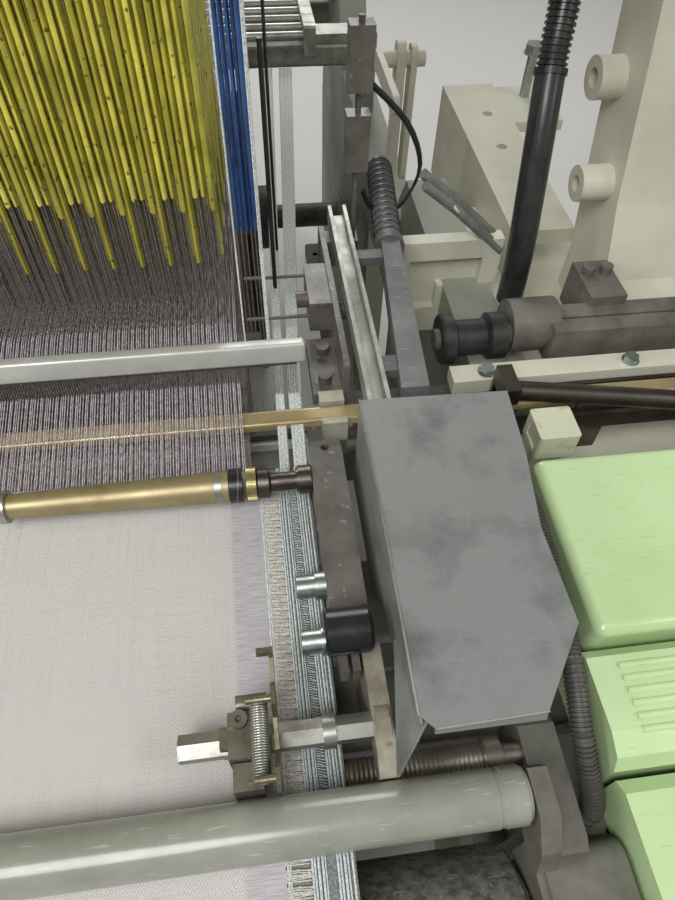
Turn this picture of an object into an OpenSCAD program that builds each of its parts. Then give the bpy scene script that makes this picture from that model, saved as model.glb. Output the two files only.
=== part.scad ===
// Jacquard rapier loom, built from the fell of the cloth outwards.
// X runs along the weft, Y from the weaver back towards the warp beam, Z up from the floor.
// Most modules are drawn from the fell: the line where the last pick lies, in the warp plane.

/* [Loom] */
// Depth of the loom over its feet
loom_depth = 2200; // [2190:5:2260]
// Width of the loom over its rapier housings
loom_w = 4000; // [3980:10:4200]
// Height of the warp plane above the floor
warp_height = 960; // [940:5:1000]
// Distance from the front of the loom back to the fell
fell_back = 555; // [550:1:565]
// Distance from the cloth's edge to a side frame
bay_gap = 250; // [248:1:260]
// Thickness of a cast side frame
frame_t = 60; // [50:2:70]
// Height of the levelling feet
foot_h = 30; // [24:2:40]
// Diameter of the anchor bolt holes in the feet
anchor_d = 18; // [14:1:22]

/* [Cloth and warp] */
// Width of the woven cloth
cloth_w = 1100; // [1060:10:1200]
// Thickness of the cloth
cloth_t = 1.2; // [1:0.1:1.6]
// Thickness of a sheet of warp threads
warp_t = 0.8; // [0.6:0.1:1]
// Half of the shed's opening at the harness
shed_half = 34.5; // [32:0.5:38]
// Width of the fringe and catch selvedge beside the cloth
fringe_w = 42; // [30:1:42]

/* [Harness] */
// Distance from the fell to the first row of heddles
harness_y = 175; // [172:1:190]
// Distance between two rows of heddles
row_pitch = 44; // [40:1:46]
// Number of heddle rows
rows = 4; // [2:1:4]
// Number of heddles across one row
heddles = 120; // [80:4:120]
// Diameter of a heddle's plastic sleeve
sleeve_d = 4.5; // [3:0.5:5]
// Height of the raised sleeves' lower ends above the warp plane
sleeve_up = 182; // [160:2:200]
// Height of the lowered sleeves' lower ends above the warp plane
sleeve_down = 113; // [100:1:120]
// Height of the comberboard above the warp plane
comber_h = 520; // [500:5:540]

/* [Sley and reed] */
// Radius from the rocking shaft to the warp plane
sley_r = 500; // [490:2:510]
// Angle at which the sley rests behind the fell
lay_angle = 11; // [10.5:0.1:12]
// Width of the reed beyond each edge of the cloth
reed_over = 50; // [40:1:52]
// Height of the reed over its baulks
reed_h = 145; // [140:1:150]
// Height of a reed baulk
baulk_h = 22; // [18:1:24]
// Thickness of a reed baulk
baulk_t = 14; // [12:1:16]
// Number of gaps in the reed
reed_gaps = 120; // [60:10:120]
// Thickness of a reed dent
dent_t = 1.6; // [1:0.2:2]
// Radius of the rocking shaft
rock_r = 30; // [25:1:35]

/* [Rollers] */
// Radius of the grip roller
grip_r = 90; // [84:1:92]
// Radius of the press tube
press_r = 19; // [17:1:22]
// Distance from the fell forward to the press tube
press_y = 298; // [294:1:302]
// Radius of the full cloth roll
roll_r = 130; // [110:5:150]
// Radius of the yarn on the warp beam
yarn_r = 300; // [260:5:310]
// Radius of the warp beam's flanges
flange_r = 400; // [380:5:405]
// Radius of the back rest roller
rest_r = 60; // [50:1:65]
// Radius of a roller's shaft
shaft_r = 20; // [16:1:22]
// Radial clearance of a shaft in its bearing
run_gap = 0.05; // [0.02:0.01:0.1]
// Gap between cloth or warp and what it passes over
soft_gap = 0.3; // [0.2:0.05:0.5]

/* [Rapiers] */
// Distance from the fell back to the rapier rods
rapier_y = 65; // [63:1:66]
// Width of a rapier rod
rod_w = 20; // [16:1:22]
// Height of a rapier rod
rod_h = 12; // [10:1:13]
// Length of a rapier rod
rod_l = 1355; // [1340:5:1380]
// Travel of a rapier
rapier_travel = 620; // [600:5:625]
// Module of the rack and its pinion
gear_m = 3; // [2.5:0.5:3]
// Teeth on a rapier pinion
pinion_teeth = 60; // [56:2:60]
// Thickness of a rapier pinion
pinion_t = 16; // [12:1:18]
// Distance from the middle of the loom to a pinion
pinion_x = 1250; // [1240:5:1260]

/* [Temples and guards] */
// Height of the temple's axis above the cloth
temple_h = 26; // [22:1:30]
// Distance from the fell forward to the temple
temple_y = 28; // [26:1:32]
// Radius of the temple at its outer end
temple_r = 14; // [12:0.5:15]
// Left end of the brass part of the right temple
temple_x = 332; // [300:2:360]
// Radius of the pin that the temple turns on
temple_pin_r = 4; // [3:0.5:5]
// Inner face of the temple arm
arm_x = 598; // [597:1:604]
// Width of the temple arm
arm_w = 30; // [26:1:32]
// Top of the temple arm above the warp plane
arm_top = 34; // [33:1:38]
// Width across the flats of the hexagonal shaft
hex_af = 17; // [14:1:19]
// Thickness of the guard's sheet metal
sheet_t = 2; // [1.5:0.5:3]
// Height of the guard's top above the warp plane
guard_h = 100; // [96:1:110]

/* [Covers] */
// Distance from the loom's middle to the covers' inner edge
cover_x = 792; // [791:1:800]
// Top of the hinged top cover above the warp plane
cover_h = 48; // [46:1:60]
// Wall of a cover
cover_wall = 4; // [3:0.5:5]
// Width of a drive cabinet
cabinet_w = 560; // [550:5:580]

/* [Gantry] */
// Height of the gantry beams' undersides
gantry_h = 2250; // [2200:10:2300]
// Side of a gantry post
post_w = 100; // [90:2:104]
// Height of the jacquard head
head_h = 400; // [350:10:450]

/* [Hidden] */
$fn = 48;

floor_z = -warp_height;
// The fittings at each side are drawn for a cloth whose edge lies here, and move with the real edge
drawn_edge = 550;
edge_shift = cloth_w / 2 - drawn_edge;
frame_x = drawn_edge + bay_gap;
frame_out = frame_x + frame_t;
cabinet_out = frame_out + cabinet_w;
side_end = loom_w / 2 - edge_shift;
shaft_end = frame_out - 6 + edge_shift;
rear_y = loom_depth - fell_back;
spring_base = floor_z + 116;
frame_top = -35;
rear_top = -180;
cabinet_top = -42;
well_top = -70;
eps = 0.01;

grip_y = -400;
grip_z = -cloth_t / 2 - 14.4 - grip_r;
roll_y = -380;
roll_z = -560;
rest_y = 1420;
rest_z = -rest_r - soft_gap - warp_t / 2 - 0.2;
beam_y = 1230;
beam_z = -540;
press_z = cloth_t / 2 + soft_gap + press_r;
bend_gap = soft_gap + 0.2;

shed_y = harness_y - 5;
shed_back = harness_y + (rows - 1) * row_pitch + 38;
rear_meet = 985;
heddle_half = cloth_w / 2 - 4;
wall_shift = 10;
web_t = 1;

reed_x = cloth_w / 2 + reed_over;
reed_top = sley_r + 75;
reed_low = reed_top - reed_h;

// The side fittings move with the cloth's edge, but the rapiers still meet in the middle of the loom
rod_x0 = 5 - edge_shift;
rack_depth = 2.25 * gear_m;
pitch_z = -rod_h / 2 - 1.25 * gear_m;
pinion_r = gear_m * pinion_teeth / 2;
pinion_z = pitch_z - pinion_r;
rack_pitch = PI * gear_m;
backlash = 0.35;

function off(d, v) = [d[0] + v[0], d[1] + v[1]];
function polar(c, r, a) = [c[0] + r * cos(a), c[1] + r * sin(a)];
function arc(c, r, a0, a1, step = 6) =
  let (n = max(1, ceil(abs(a1 - a0) / step))) [for (i = [0 : n]) polar(c, r, a0 + (a1 - a0) * i / n)];
// Angle of the outward normal at circle a where a straight run leaves it for circle b
function leave(a, ra, b, rb, side) =
  let (d = [b[0] - a[0], b[1] - a[1]]) atan2(d[1], d[0]) + side * acos((ra - rb) / norm(d));
function unit(v) = v / norm(v);
function left_of(v) = [-v[1], v[0]];
function bend_at(p, i) =
  let (n = len(p), a = i > 0 ? unit(p[i] - p[i - 1]) : unit(p[1] - p[0]),
    b = i < n - 1 ? unit(p[i + 1] - p[i]) : a, m = unit(a + b))
  left_of(m) / max(0.5, m * a);
// Outline of a band of thickness t whose middle follows the points p
function band(p, t) = concat([for (i = [0 : len(p) - 1]) p[i] + bend_at(p, i) * t / 2],
  [for (i = [len(p) - 1 : -1 : 0]) p[i] - bend_at(p, i) * t / 2]);

module fell() { translate([0, fell_back - loom_depth / 2, warp_height]) children(); }
module right() { translate([edge_shift, 0, 0]) children(); }
module left() { mirror([1, 0, 0]) right() children(); }
module both() {
  right() children();
  left() children();
}
module along_x(x0, x1) { translate([x0, 0, 0]) rotate([90, 0, 90]) linear_extrude(x1 - x0) children(); }
module along_y(y0, y1) { translate([0, y1, 0]) rotate([90, 0, 0]) linear_extrude(y1 - y0) children(); }
module block(a, b) { translate(a) cube([b[0] - a[0], b[1] - a[1], b[2] - a[2]]); }
module rod_x(x0, x1, y, z, r) { translate([x0, y, z]) rotate([0, 90, 0]) cylinder(h = x1 - x0, r = r); }
module rod_y(y0, y1, x, z, r) { translate([x, y1, z]) rotate([90, 0, 0]) cylinder(h = y1 - y0, r = r); }
module rod_z(z0, z1, x, y, r) { translate([x, y, z0]) cylinder(h = z1 - z0, r = r); }
module turned_x(y, z) { translate([0, y, z]) rotate([0, 90, 0]) rotate_extrude($fn = 64) children(); }
// Flat rectangle with round corners between two corner points
module plate2(a, b, r) {
  translate([a[0] + r, a[1]]) square([b[0] - a[0] - 2 * r, b[1] - a[1]]);
  translate([a[0], a[1] + r]) square([b[0] - a[0], b[1] - a[1] - 2 * r]);
  for (x = [a[0] + r, b[0] - r], y = [a[1] + r, b[1] - r]) translate([x, y]) circle(r);
}
module sley_frame() { translate([0, 0, -sley_r]) rotate([-lay_angle, 0, 0]) children(); }
// Round tube with n sides that follows a list of points
module swept(p, r, n = 10) {
  m = len(p);
  dir = [for (i = [0 : m - 1]) unit(p[min(i + 1, m - 1)] - p[max(i - 1, 0)])];
  side = [for (i = [0 : m - 1]) let (s = cross(dir[i], abs(dir[i][1]) < 0.9 ? [0, 1, 0] : [1, 0,
    0])) unit(s)];
  ring = [for (i = [0 : m - 1], k = [0 : n - 1])
    p[i] + r * (cos(360 * k / n) * side[i] + sin(360 * k / n) * cross(dir[i], side[i]))];
  walls = [for (i = [0 : m - 2], k = [0 : n - 1]) let (a = i * n + k, b = a + n,
    c = (i + 1) * n + (k + 1) % n)
    each [[a, b, c], [a, c, c - n]]];
  polyhedron(ring, concat(walls, [[for (k = [0 : n - 1]) k]],
    [[for (k = [n - 1 : -1 : 0]) (m - 1) * n + k]]));
}
// Points of a smooth curve through the points p
function smooth(p, per = 4) = concat([for (i = [0 : len(p) - 2], s = [0 : per - 1])
  let (t = s / per, a = p[max(i - 1, 0)], b = p[i], c = p[i + 1], d = p[min(i + 2, len(p) - 1)])
  0.5 * (2 * b + (c - a) * t + (2 * a - 5 * b + 4 * c - d) * t * t + (3 * b - a - 3 * c + d) * t * t * t)],
  [p[len(p) - 1]]);

// Frame

module side_frames() {
  windows = [[-500, -160, 120, 250], [-275, -90, 330, 640], [120, 480, 140, 640], [580, 880, 140, 640]];
  bores = [[grip_y, grip_z, shaft_r], [roll_y, roll_z, shaft_r], [0, -sley_r, rock_r],
    [rest_y, rest_z, shaft_r], [beam_y, beam_z, shaft_r + 10]];
  color([0.72, 0.72, 0.62]) fell() both() difference() {
    union() {
      along_x(frame_x, frame_out) polygon([[-fell_back + 30, floor_z + foot_h], [rear_y - 10,
        floor_z + foot_h],
        [rear_y - 10, -400], [rest_y + 120, 5], [rest_y - 70, 5], [beam_y + 20, rear_top], [640, rear_top],
        [540, frame_top], [-fell_back + 77, frame_top], [-fell_back + 30, -100]]);
      for (b = bores) rod_x(frame_x - 8, frame_x + 1, b[0], b[1], b[2] + 20);
    }
    for (w = windows) {
      along_x(frame_x - 1, frame_out + 1) plate2([w[0], floor_z + w[2]], [w[1], floor_z + w[3]], 40);
      along_x(frame_x - 1, frame_x + 15) plate2([w[0] - 22, floor_z + w[2] - 22], [w[1] + 22,
        floor_z + w[3] + 22], 50);
    }
    for (b = bores) rod_x(frame_x - 20, frame_out - 4, b[0], b[1], b[2] + run_gap);
  }
}
module hollow_beam(y, z, w, h, wall = 8) {
  along_x(-frame_x - edge_shift, frame_x + edge_shift) difference() {
    plate2([y - w / 2, z - h / 2], [y + w / 2, z + h / 2], 10);
    plate2([y - w / 2 + wall, z - h / 2 + wall], [y + w / 2 - wall, z + h / 2 - wall], 4);
  }
}
module cross_beams() {
  color([0.72, 0.72, 0.62]) fell() {
    hollow_beam(-60, floor_z + 160, 120, 120);
    hollow_beam(520, floor_z + 320, 120, 120);
    hollow_beam(rest_y + 115, -160, 56, 56);
    hollow_beam(harness_y + 70, spring_base - 20, 200, 40);
  }
}
module foot_pad(x0, x1, y0, y1, hole) {
  difference() {
    translate([0, 0, floor_z]) linear_extrude(foot_h) plate2([x0, y0], [x1, y1], 12);
    if (hole) rod_z(floor_z - 1, floor_z + foot_h + 1, x0 + 30, (y0 + y1) / 2, anchor_d / 2);
  }
}
module machine_feet() {
  color([0.3, 0.3, 0.3]) fell() both() {
    foot_pad(frame_x - 60, frame_out + 40, -fell_back, -fell_back + 120, true);
    foot_pad(frame_x - 60, frame_out + 40, rear_y - 120, rear_y, true);
    foot_pad(frame_x - 20, frame_out + 20, 500, 620, false);
    for (y = [-500, 300]) foot_pad(cabinet_out - 120, cabinet_out - 20, y, y + 100, false);
  }
}
post_x = cabinet_out + 20;
post_ys = [-85, 615];
module gantry() {
  color([0.72, 0.72, 0.62]) fell() {
    both() {
      for (y = post_ys) {
        block([post_x, y - post_w / 2, floor_z + 20], [post_x + post_w, y + post_w / 2,
          floor_z + gantry_h]);
        block([post_x - 15, y - post_w / 2 - 30, floor_z], [post_x + post_w + 30, y + post_w / 2 + 30,
          floor_z + 20]);
      }
      block([post_x + 20, post_ys[0] + post_w / 2, comber_h - 30],
        [post_x + 80, post_ys[1] - post_w / 2, comber_h + 30]);
      block([post_x, post_ys[0] + post_w / 2, floor_z + gantry_h],
        [post_x + post_w, post_ys[1] - post_w / 2, floor_z + gantry_h + 100]);
    }
    for (y = post_ys) block([-post_x - post_w - edge_shift, y - post_w / 2, floor_z + gantry_h],
      [post_x + post_w + edge_shift, y + post_w / 2, floor_z + gantry_h + 100]);
  }
}
module jacquard_head() {
  z0 = floor_z + gantry_h + 100;
  color([0.72, 0.74, 0.7]) fell() difference() {
    union() {
      along_y(-50, 580) plate2([-700, z0], [700, z0 + head_h], 40);
      along_y(-62, -50) plate2([-620, z0 + 60], [620, z0 + head_h - 60], 20);
      along_y(580, 592) plate2([-620, z0 + 60], [620, z0 + head_h - 60], 20);
      block([-520, harness_y - 20, z0 - 60], [520, shed_back + 20, z0 + 1]);
    }
    for (i = [0 : 11]) for (s = [-1, 1]) block([s * 660 - 26, 60 + i * 36, z0 + head_h - 8],
      [s * 660 + 26, 78 + i * 36, z0 + head_h + 1]);
  }
}

// Harness

function ridge_xs(phase) = [for (i = [0 : heddles - 1]) if (phase[i % 4] == 1)
  -heddle_half + sleeve_d + i * (2 * heddle_half - 2 * sleeve_d) / (heddles - 1)];
function ridge(xs, s) = [for (x = xs) each [[x - sleeve_d / 2, s * web_t / 2],
  [x - sleeve_d / 5, s * sleeve_d / 2], [x + sleeve_d / 5, s * sleeve_d / 2], [x + sleeve_d / 2,
  s * web_t / 2]]];
function turned_back(p) = [for (i = [len(p) - 1 : -1 : 0]) p[i]];
// A row of sleeves joined by a thin web, and the fine heddle wires below it
module heddle_wall(y, phase, sleeve_z, eye_z, top_z) {
  xs = ridge_xs(phase);
  translate([0, y, sleeve_z]) linear_extrude(top_z - sleeve_z) polygon(concat(
    [[-heddle_half, -web_t / 2], [-heddle_half, web_t / 2]], ridge(xs, 1),
    [[heddle_half, web_t / 2], [heddle_half, -web_t / 2]], turned_back(ridge(xs, -1))));
  block([-heddle_half, y - web_t / 2, eye_z], [heddle_half, y + web_t / 2, sleeve_z + eps]);
}
module heddles_raised() {
  color([0.84, 0.8, 0.2]) fell() for (i = [0 : rows - 1])
    heddle_wall(harness_y + i * row_pitch, [0, 1, 1, 1], sleeve_up,
      shed_half + warp_t / 2 + soft_gap, comber_h + 60);
}
module heddles_lowered() {
  color([0.84, 0.8, 0.2]) fell() for (i = [0 : rows - 1])
    heddle_wall(harness_y + i * row_pitch + wall_shift, [1, 0, 0, 0], sleeve_down,
      -shed_half + warp_t / 2 + soft_gap, comber_h + 20);
}
module comberboard() {
  y1 = shed_back + 10;
  comber_x = cloth_w / 2 + 70;
  color([0.55, 0.42, 0.28]) fell() {
    difference() {
      translate([0, 0, comber_h - 12]) linear_extrude(24) plate2([-comber_x, harness_y - 30], [comber_x,
        y1], 10);
      for (i = [0 : rows - 1]) block([-heddle_half - 2, harness_y + i * row_pitch - 4, comber_h - 20],
        [heddle_half + 2, harness_y + i * row_pitch + wall_shift + 4, comber_h + 20]);
    }
    both() block([comber_x - edge_shift, harness_y, comber_h - 20], [post_x + 20, harness_y + 60,
      comber_h + 20]);
  }
}
module harness_cords() {
  z0 = comber_h - 8;
  z1 = floor_z + gantry_h + 40;
  color([0.78, 0.76, 0.7]) fell() for (i = [0 : rows - 1]) let (y = harness_y + 5 + i * row_pitch)
    along_y(y - 1, y + 1) polygon([[-heddle_half, z0], [heddle_half, z0], [500, z1], [-500, z1]]);
}
module harness_springs() {
  color([0.6, 0.6, 0.6]) fell() for (i = [0 : rows - 1]) let (y = harness_y + 5 + i * row_pitch)
    block([-heddle_half, y - 1, spring_base], [heddle_half, y + 1, -shed_half - 25]);
}

// Cabinets and covers

module drive_cabinets() {
  slot_x = pinion_r + gear_m + 12;
  color([0.75, 0.76, 0.66]) fell() both() difference() {
    union() {
      along_x(frame_out, cabinet_out) polygon([[-fell_back + 30, floor_z + foot_h], [430, floor_z + foot_h],
        [430, well_top], [-5, well_top], [-5, cabinet_top], [-fell_back + 80, cabinet_top],
        [-fell_back + 30, -160]]);
      block([frame_out, lid_front + 6, cabinet_top - eps], [cabinet_out - 6, lid_y - 6, lid_z]);
      block([frame_x + 6, lid_front + 6, frame_top], [frame_out + 1, lid_y - 6, lid_z]);
      block([cabinet_out - eps, -480, floor_z + 140], [cabinet_out + 8, -140, -120]);
      block([cabinet_out - eps, 140, floor_z + 140], [cabinet_out + 8, 400, -120]);
    }
    block([pinion_x - slot_x, rapier_y - pinion_t / 2 - 8, pinion_z - slot_x],
      [pinion_x + slot_x, rapier_y + pinion_t / 2 + 8, 0]);
    rod_y(rapier_y - 40, rapier_y + 40, pinion_x, pinion_z, 12 + run_gap);
    block([frame_out - 1, 200, -260], [frame_out + 30, 330, -120]);
  }
}
module cover_shell(x1, y0, y1, z0, z1, r) {
  difference() {
    hull() for (x = [cover_x + r, x1 - r], y = [y0 + r, y1 - r]) {
      translate([x, y, z1 - r]) sphere(r, $fn = 28);
      rod_z(z0, z0 + 1, x, y, r, $fn = 28);
    }
    block([cover_x + cover_wall + 4, y0 + cover_wall + 4, z0 - 1], [x1 - cover_wall - 4,
      y1 - cover_wall - 4, z1 - cover_wall - 8]);
  }
}
lid_y = -43;
lid_front = -206;
lid_z = 8;
lid_gap = 0.3;
module lid() {
  cover_shell(cabinet_out, lid_front, lid_y, lid_z + lid_gap, cover_h, 9);
  for (x = [cover_x + 120, cabinet_out - 120]) rod_x(x - 25, x + 25, lid_y + 1, cover_h - 20, 6);
}
module top_cover_right() { color([0.6, 0.82, 0.5]) fell() right() lid(); }
module top_cover_left() { color([0.6, 0.82, 0.5]) fell() left() lid(); }
ribbed_h = 35;
module ribbed_covers() {
  x0 = cover_x - 11;
  color([0.6, 0.82, 0.5]) fell() both() difference() {
    union() {
      along_x(x0, cabinet_out) polygon([[-292, frame_top + eps], [lid_front - 4, frame_top + eps],
        [lid_front - 4, ribbed_h - 10], [lid_front - 12, ribbed_h], [-270, ribbed_h], [-286,
        ribbed_h - 6], [-292, ribbed_h - 20]]);
      for (i = [0 : 5]) rod_x(x0 + 22, cabinet_out - 20, -226 - i * 9, ribbed_h - 0.6, 2.6, $fn = 16);
    }
    block([x0 + cover_wall, -292 + cover_wall, frame_top - 1], [cabinet_out - cover_wall, lid_front - 8,
      ribbed_h - 24]);
  }
}
module front_covers() {
  x0 = cover_x - 8;
  y0 = -fell_back + 12;
  color([0.6, 0.82, 0.5]) fell() both() difference() {
    along_x(x0, cabinet_out) union() {
      polygon([[-296, frame_top + eps], [-296, 6], [-306, 15], [-380, 15], [y0 + 40, -34], [y0 + 10, -60],
        [y0, -90],
        [y0, -260], [y0 + 9, -260], [y0 + 9, -90], [y0 + 62, frame_top + eps]]);
    }
    block([x0 + cover_wall, -400, frame_top - 1], [cabinet_out - cover_wall, -300, 4]);
  }
}

// Rapier drive

module rapier_housings() {
  y0 = rapier_y - rod_w / 2 - 14;
  y1 = rapier_y + rod_w / 2 + 14;
  slot_x = pinion_r * 0.7;
  wall = 5;
  color([0.42, 0.36, 0.3]) fell() both() {
    difference() {
      union() {
        block([frame_x, y0, -26], [cabinet_out, y1, -rod_h / 2 + 1]);
        block([cabinet_out - eps, y0, -26], [side_end, y1, rod_h / 2 + 14]);
      }
      block([frame_x - 1, y0 + wall, -26 + wall], [side_end - wall, y1 - wall, rod_h / 2 + 14 - wall]);
      block([pinion_x - slot_x, y0 + wall, -30], [pinion_x + slot_x, y1 - wall, 0]);
    }
    block([frame_out, y0 + 8, well_top], [frame_out + 60, y1 - 8, -26]);
    block([cabinet_out - 60, y0 + 8, well_top], [cabinet_out - 1, y1 - 8, -26]);
    block([side_end - 70, y0 + 4, floor_z + 12], [side_end - 30, y1 - 4, -26]);
    block([side_end - 100, rapier_y - 50, floor_z], [side_end, rapier_y + 50, floor_z + 12]);
    translate([frame_x + 13, rapier_y - 1.5, 17.5]) rotate([0, 90, -10.9]) cylinder(h = 200, r = 10);
    block([frame_x, rapier_y - 13, 8], [frame_x + 16, y1, 29]);
    block([frame_x, y1 - wall, -rod_h / 2], [frame_x + 16, y1, 8 + eps]);
    block([frame_x + 200, rapier_y - 49, 8], [frame_x + 216, y0 + wall, 28]);
    block([frame_x + 200, y0, -rod_h / 2], [frame_x + 216, y0 + wall, 8 + eps]);
  }
}
module rapier_rails() {
  y0 = rapier_y + rod_w / 2 + 21;
  color([0.75, 0.75, 0.66]) fell() both() {
    block([cover_x - 30, y0, -18], [cabinet_out - 4, y0 + 24, 0]);
    block([frame_out, y0 + 4, well_top], [cabinet_out - 4, y0 + 14, -18 + eps]);
  }
}
function rack_tooth(x) = let (a = tan(20), half = rack_pitch / 4 - backlash / 2, d = 1.25 * gear_m,
  u = gear_m)
  [[x - half - d * a, -rod_h / 2], [x - half + u * a, pitch_z - u],
   [x + half - u * a, pitch_z - u], [x + half + d * a, -rod_h / 2]];
module rapier() {
  first = ceil((pinion_x - rapier_travel - 40 - pinion_x) / rack_pitch);
  last = floor(40 / rack_pitch);
  tip = rod_x0 + 60;
  union() {
    along_x(tip, rod_l) plate2([rapier_y - rod_w / 2, -rod_h / 2], [rapier_y + rod_w / 2, rod_h / 2], 4);
    along_y(rapier_y - 6, rapier_y + 6) polygon(concat(
      [[pinion_x + last * rack_pitch + 5, -rod_h / 2 + 1], [pinion_x + first * rack_pitch - 5,
      -rod_h / 2 + 1],
       [pinion_x + first * rack_pitch - 5, -rod_h / 2]],
      [for (i = [first : last]) each rack_tooth(pinion_x + (i + 0.5) * rack_pitch - rack_pitch / 2)],
      [[pinion_x + last * rack_pitch + 5, -rod_h / 2]]));
    along_x(tip - 25, tip + 1) translate([rapier_y, 0]) square([rod_w - 6, rod_h - 4], center = true);
    translate([0, rapier_y, 0]) along_y(-6, 6) polygon([[rod_x0, -1], [rod_x0 + 12, -4], [tip, -5], [tip,
      5],
      [rod_x0 + 30, 4], [rod_x0 + 22, 1.5], [rod_x0 + 8, 1.5]]);
  }
}
module rapier_right() { color([0.5, 0.42, 0.28]) fell() right() rapier(); }
module rapier_left() { color([0.5, 0.42, 0.28]) fell() left() rapier(); }
// Involute flank of a pinion tooth
base_r = pinion_r * cos(20);
function inv_ang(r) = let (c = acos(base_r / r)) tan(c) * 180 / PI - c;
tooth_half = 90 / pinion_teeth - backlash / 2 / pinion_r * 180 / PI;
function flank(r, s, mid) = polar([0, 0], r, mid + s * (tooth_half + inv_ang(pinion_r) - inv_ang(r)));
tip_r = pinion_r + gear_m;
root_r = pinion_r - 1.25 * gear_m;
radii = [root_r + 0.3, pinion_r - gear_m / 2, pinion_r, pinion_r + gear_m / 2, tip_r];
function pinion_pts() = [for (i = [0 : pinion_teeth - 1]) let (mid = 90 + (i + 0.5) * 360 / pinion_teeth)
  each concat([for (r = radii) flank(max(r, base_r + 0.01), -1, mid)],
    [for (k = [len(radii) - 1 : -1 : 0]) flank(max(radii[k], base_r + 0.01), 1, mid)])];
module pinion() {
  translate([pinion_x, rapier_y, pinion_z]) difference() {
    union() {
      translate([0, pinion_t / 2, 0]) rotate([90, 0, 0]) linear_extrude(pinion_t) polygon(pinion_pts());
      rod_y(-39, 39, 0, 0, 12);
      rod_y(-pinion_t / 2 - 6, pinion_t / 2 + 6, 0, 0, 26);
    }
    for (a = [0 : 60 : 300]) rotate([0, a, 0]) rod_y(-pinion_t, pinion_t, 56, 0, 16);
  }
}
module pinion_right() { color([0.5, 0.5, 0.5]) fell() right() pinion(); }
module pinion_left() { color([0.5, 0.5, 0.5]) fell() left() pinion(); }
module rapier_guides() {
  y0 = rapier_y - rod_w / 2 - 8;
  y1 = rapier_y + rod_w / 2 + 15;
  color([0.82, 0.8, 0.72]) fell() both() difference() {
    block([617, y0, -rod_h / 2 - 12], [642, y1, rod_h / 2 + 4]);
    block([616, rapier_y - rod_w / 2 - soft_gap, -rod_h / 2 - soft_gap], [643,
      rapier_y + rod_w / 2 + soft_gap, rod_h]);
    block([616, rapier_y - 6.4, pitch_z - gear_m - 0.5], [643, rapier_y + 6.4, 0]);
  }
}

// Cloth, warp and rollers

grip_path_r = grip_r + bend_gap + cloth_t / 2;
roll_path_r = roll_r + bend_gap + cloth_t / 2;
function cloth_path() = let (g = [grip_y, grip_z], c = [roll_y, roll_z], p = [-press_y, 0],
    on = leave(g, grip_path_r, p, 0, 1), away = leave(g, grip_path_r, c, roll_path_r, -1) + 360)
  concat([[5, 0], p], arc(g, grip_path_r, on, away), arc(c, roll_path_r, away, away + 40));
module cloth() {
  color([0.72, 0.7, 0.72]) fell() along_x(-cloth_w / 2 - fringe_w, cloth_w / 2 + fringe_w)
    polygon(band(cloth_path(), cloth_t));
}
function warp_back_path() = let (r = [rest_y, rest_z], b = [beam_y, beam_z],
    rr = rest_r + soft_gap + warp_t / 2 + 0.2, br = yarn_r + bend_gap + warp_t / 2,
    away = leave(r, rr, b, br, 1))
  concat([[rear_meet - 10, 0]], arc(r, rr, 90, away), arc(b, br, away, away - 40, 4));
module warp_back() {
  color([0.5, 0.46, 0.48]) fell() along_x(-cloth_w / 2, cloth_w / 2) polygon(band(warp_back_path(),
    warp_t));
}
function shed_z(y) = y < shed_y ? shed_half * y / shed_y
  : y < shed_back ? shed_half : shed_half * (rear_meet - y) / (rear_meet - shed_back);
module warp_sheet(s, gap0, gap1) {
  p0 = [for (y = [5, gap0]) [y, s * shed_z(y)]];
  p1 = [for (y = [gap1, shed_y, shed_back, rear_meet - 10]) [y, s * shed_z(y)]];
  half = cloth_w / 2;
  along_x(-half, half) polygon(band(p0, warp_t));
  along_x(-half, half) polygon(band(p1, warp_t));
}
reed_dy = baulk_t / 2 + 1;
module warp_upper() {
  y = (sley_r + 19) * sin(lay_angle);
  color([0.5, 0.46, 0.48]) fell() difference() {
    warp_sheet(1, y - reed_dy - 12, y + reed_dy);
    for (i = [0 : rows - 1]) let (v = harness_y + i * row_pitch + wall_shift)
      block([-heddle_half - 1, v - 1.5, shed_half - 5], [heddle_half + 1, v + 1.5, shed_half + 5]);
  }
}
module warp_lower() {
  y = (sley_r - 19) * sin(lay_angle);
  color([0.5, 0.46, 0.48]) fell() warp_sheet(-1, y - reed_dy - 12, y + reed_dy);
}
module grip_roller() {
  color([0.2, 0.2, 0.2]) fell() turned_x(grip_y, grip_z) polygon([[0, -shaft_end], [shaft_r, -shaft_end],
    [shaft_r, -tube_x], [grip_r - 4, -tube_x], [grip_r, -tube_x + 4], [grip_r, tube_x - 4], [grip_r - 4,
    tube_x],
    [shaft_r, tube_x], [shaft_r, shaft_end], [0, shaft_end]]);
}
tube_x = cloth_w / 2 + 164;
module press_tube() {
  color([0.72, 0.74, 0.7]) fell() turned_x(-press_y, press_z) polygon([[0, -tube_x - 14], [8, -tube_x - 14],
    [8, -tube_x], [press_r - 2, -tube_x], [press_r, -tube_x + 3], [press_r, tube_x - 22], [press_r - 0.6,
    tube_x - 21],
    [press_r - 0.6, tube_x - 18], [press_r, tube_x - 17], [press_r, tube_x - 3], [press_r - 2, tube_x],
    [8, tube_x], [8, tube_x + 14], [0, tube_x + 14]]);
}
module cloth_roll() {
  half = cloth_w / 2 + 6;
  color([0.72, 0.7, 0.72]) fell() turned_x(roll_y, roll_z) polygon([[0, -shaft_end], [shaft_r, -shaft_end],
    [shaft_r, -half - 40], [45, -half - 40], [45, -half], [roll_r, -half], [roll_r, half], [45, half],
    [45, half + 40],
    [shaft_r, half + 40], [shaft_r, shaft_end], [0, shaft_end]]);
}
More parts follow.
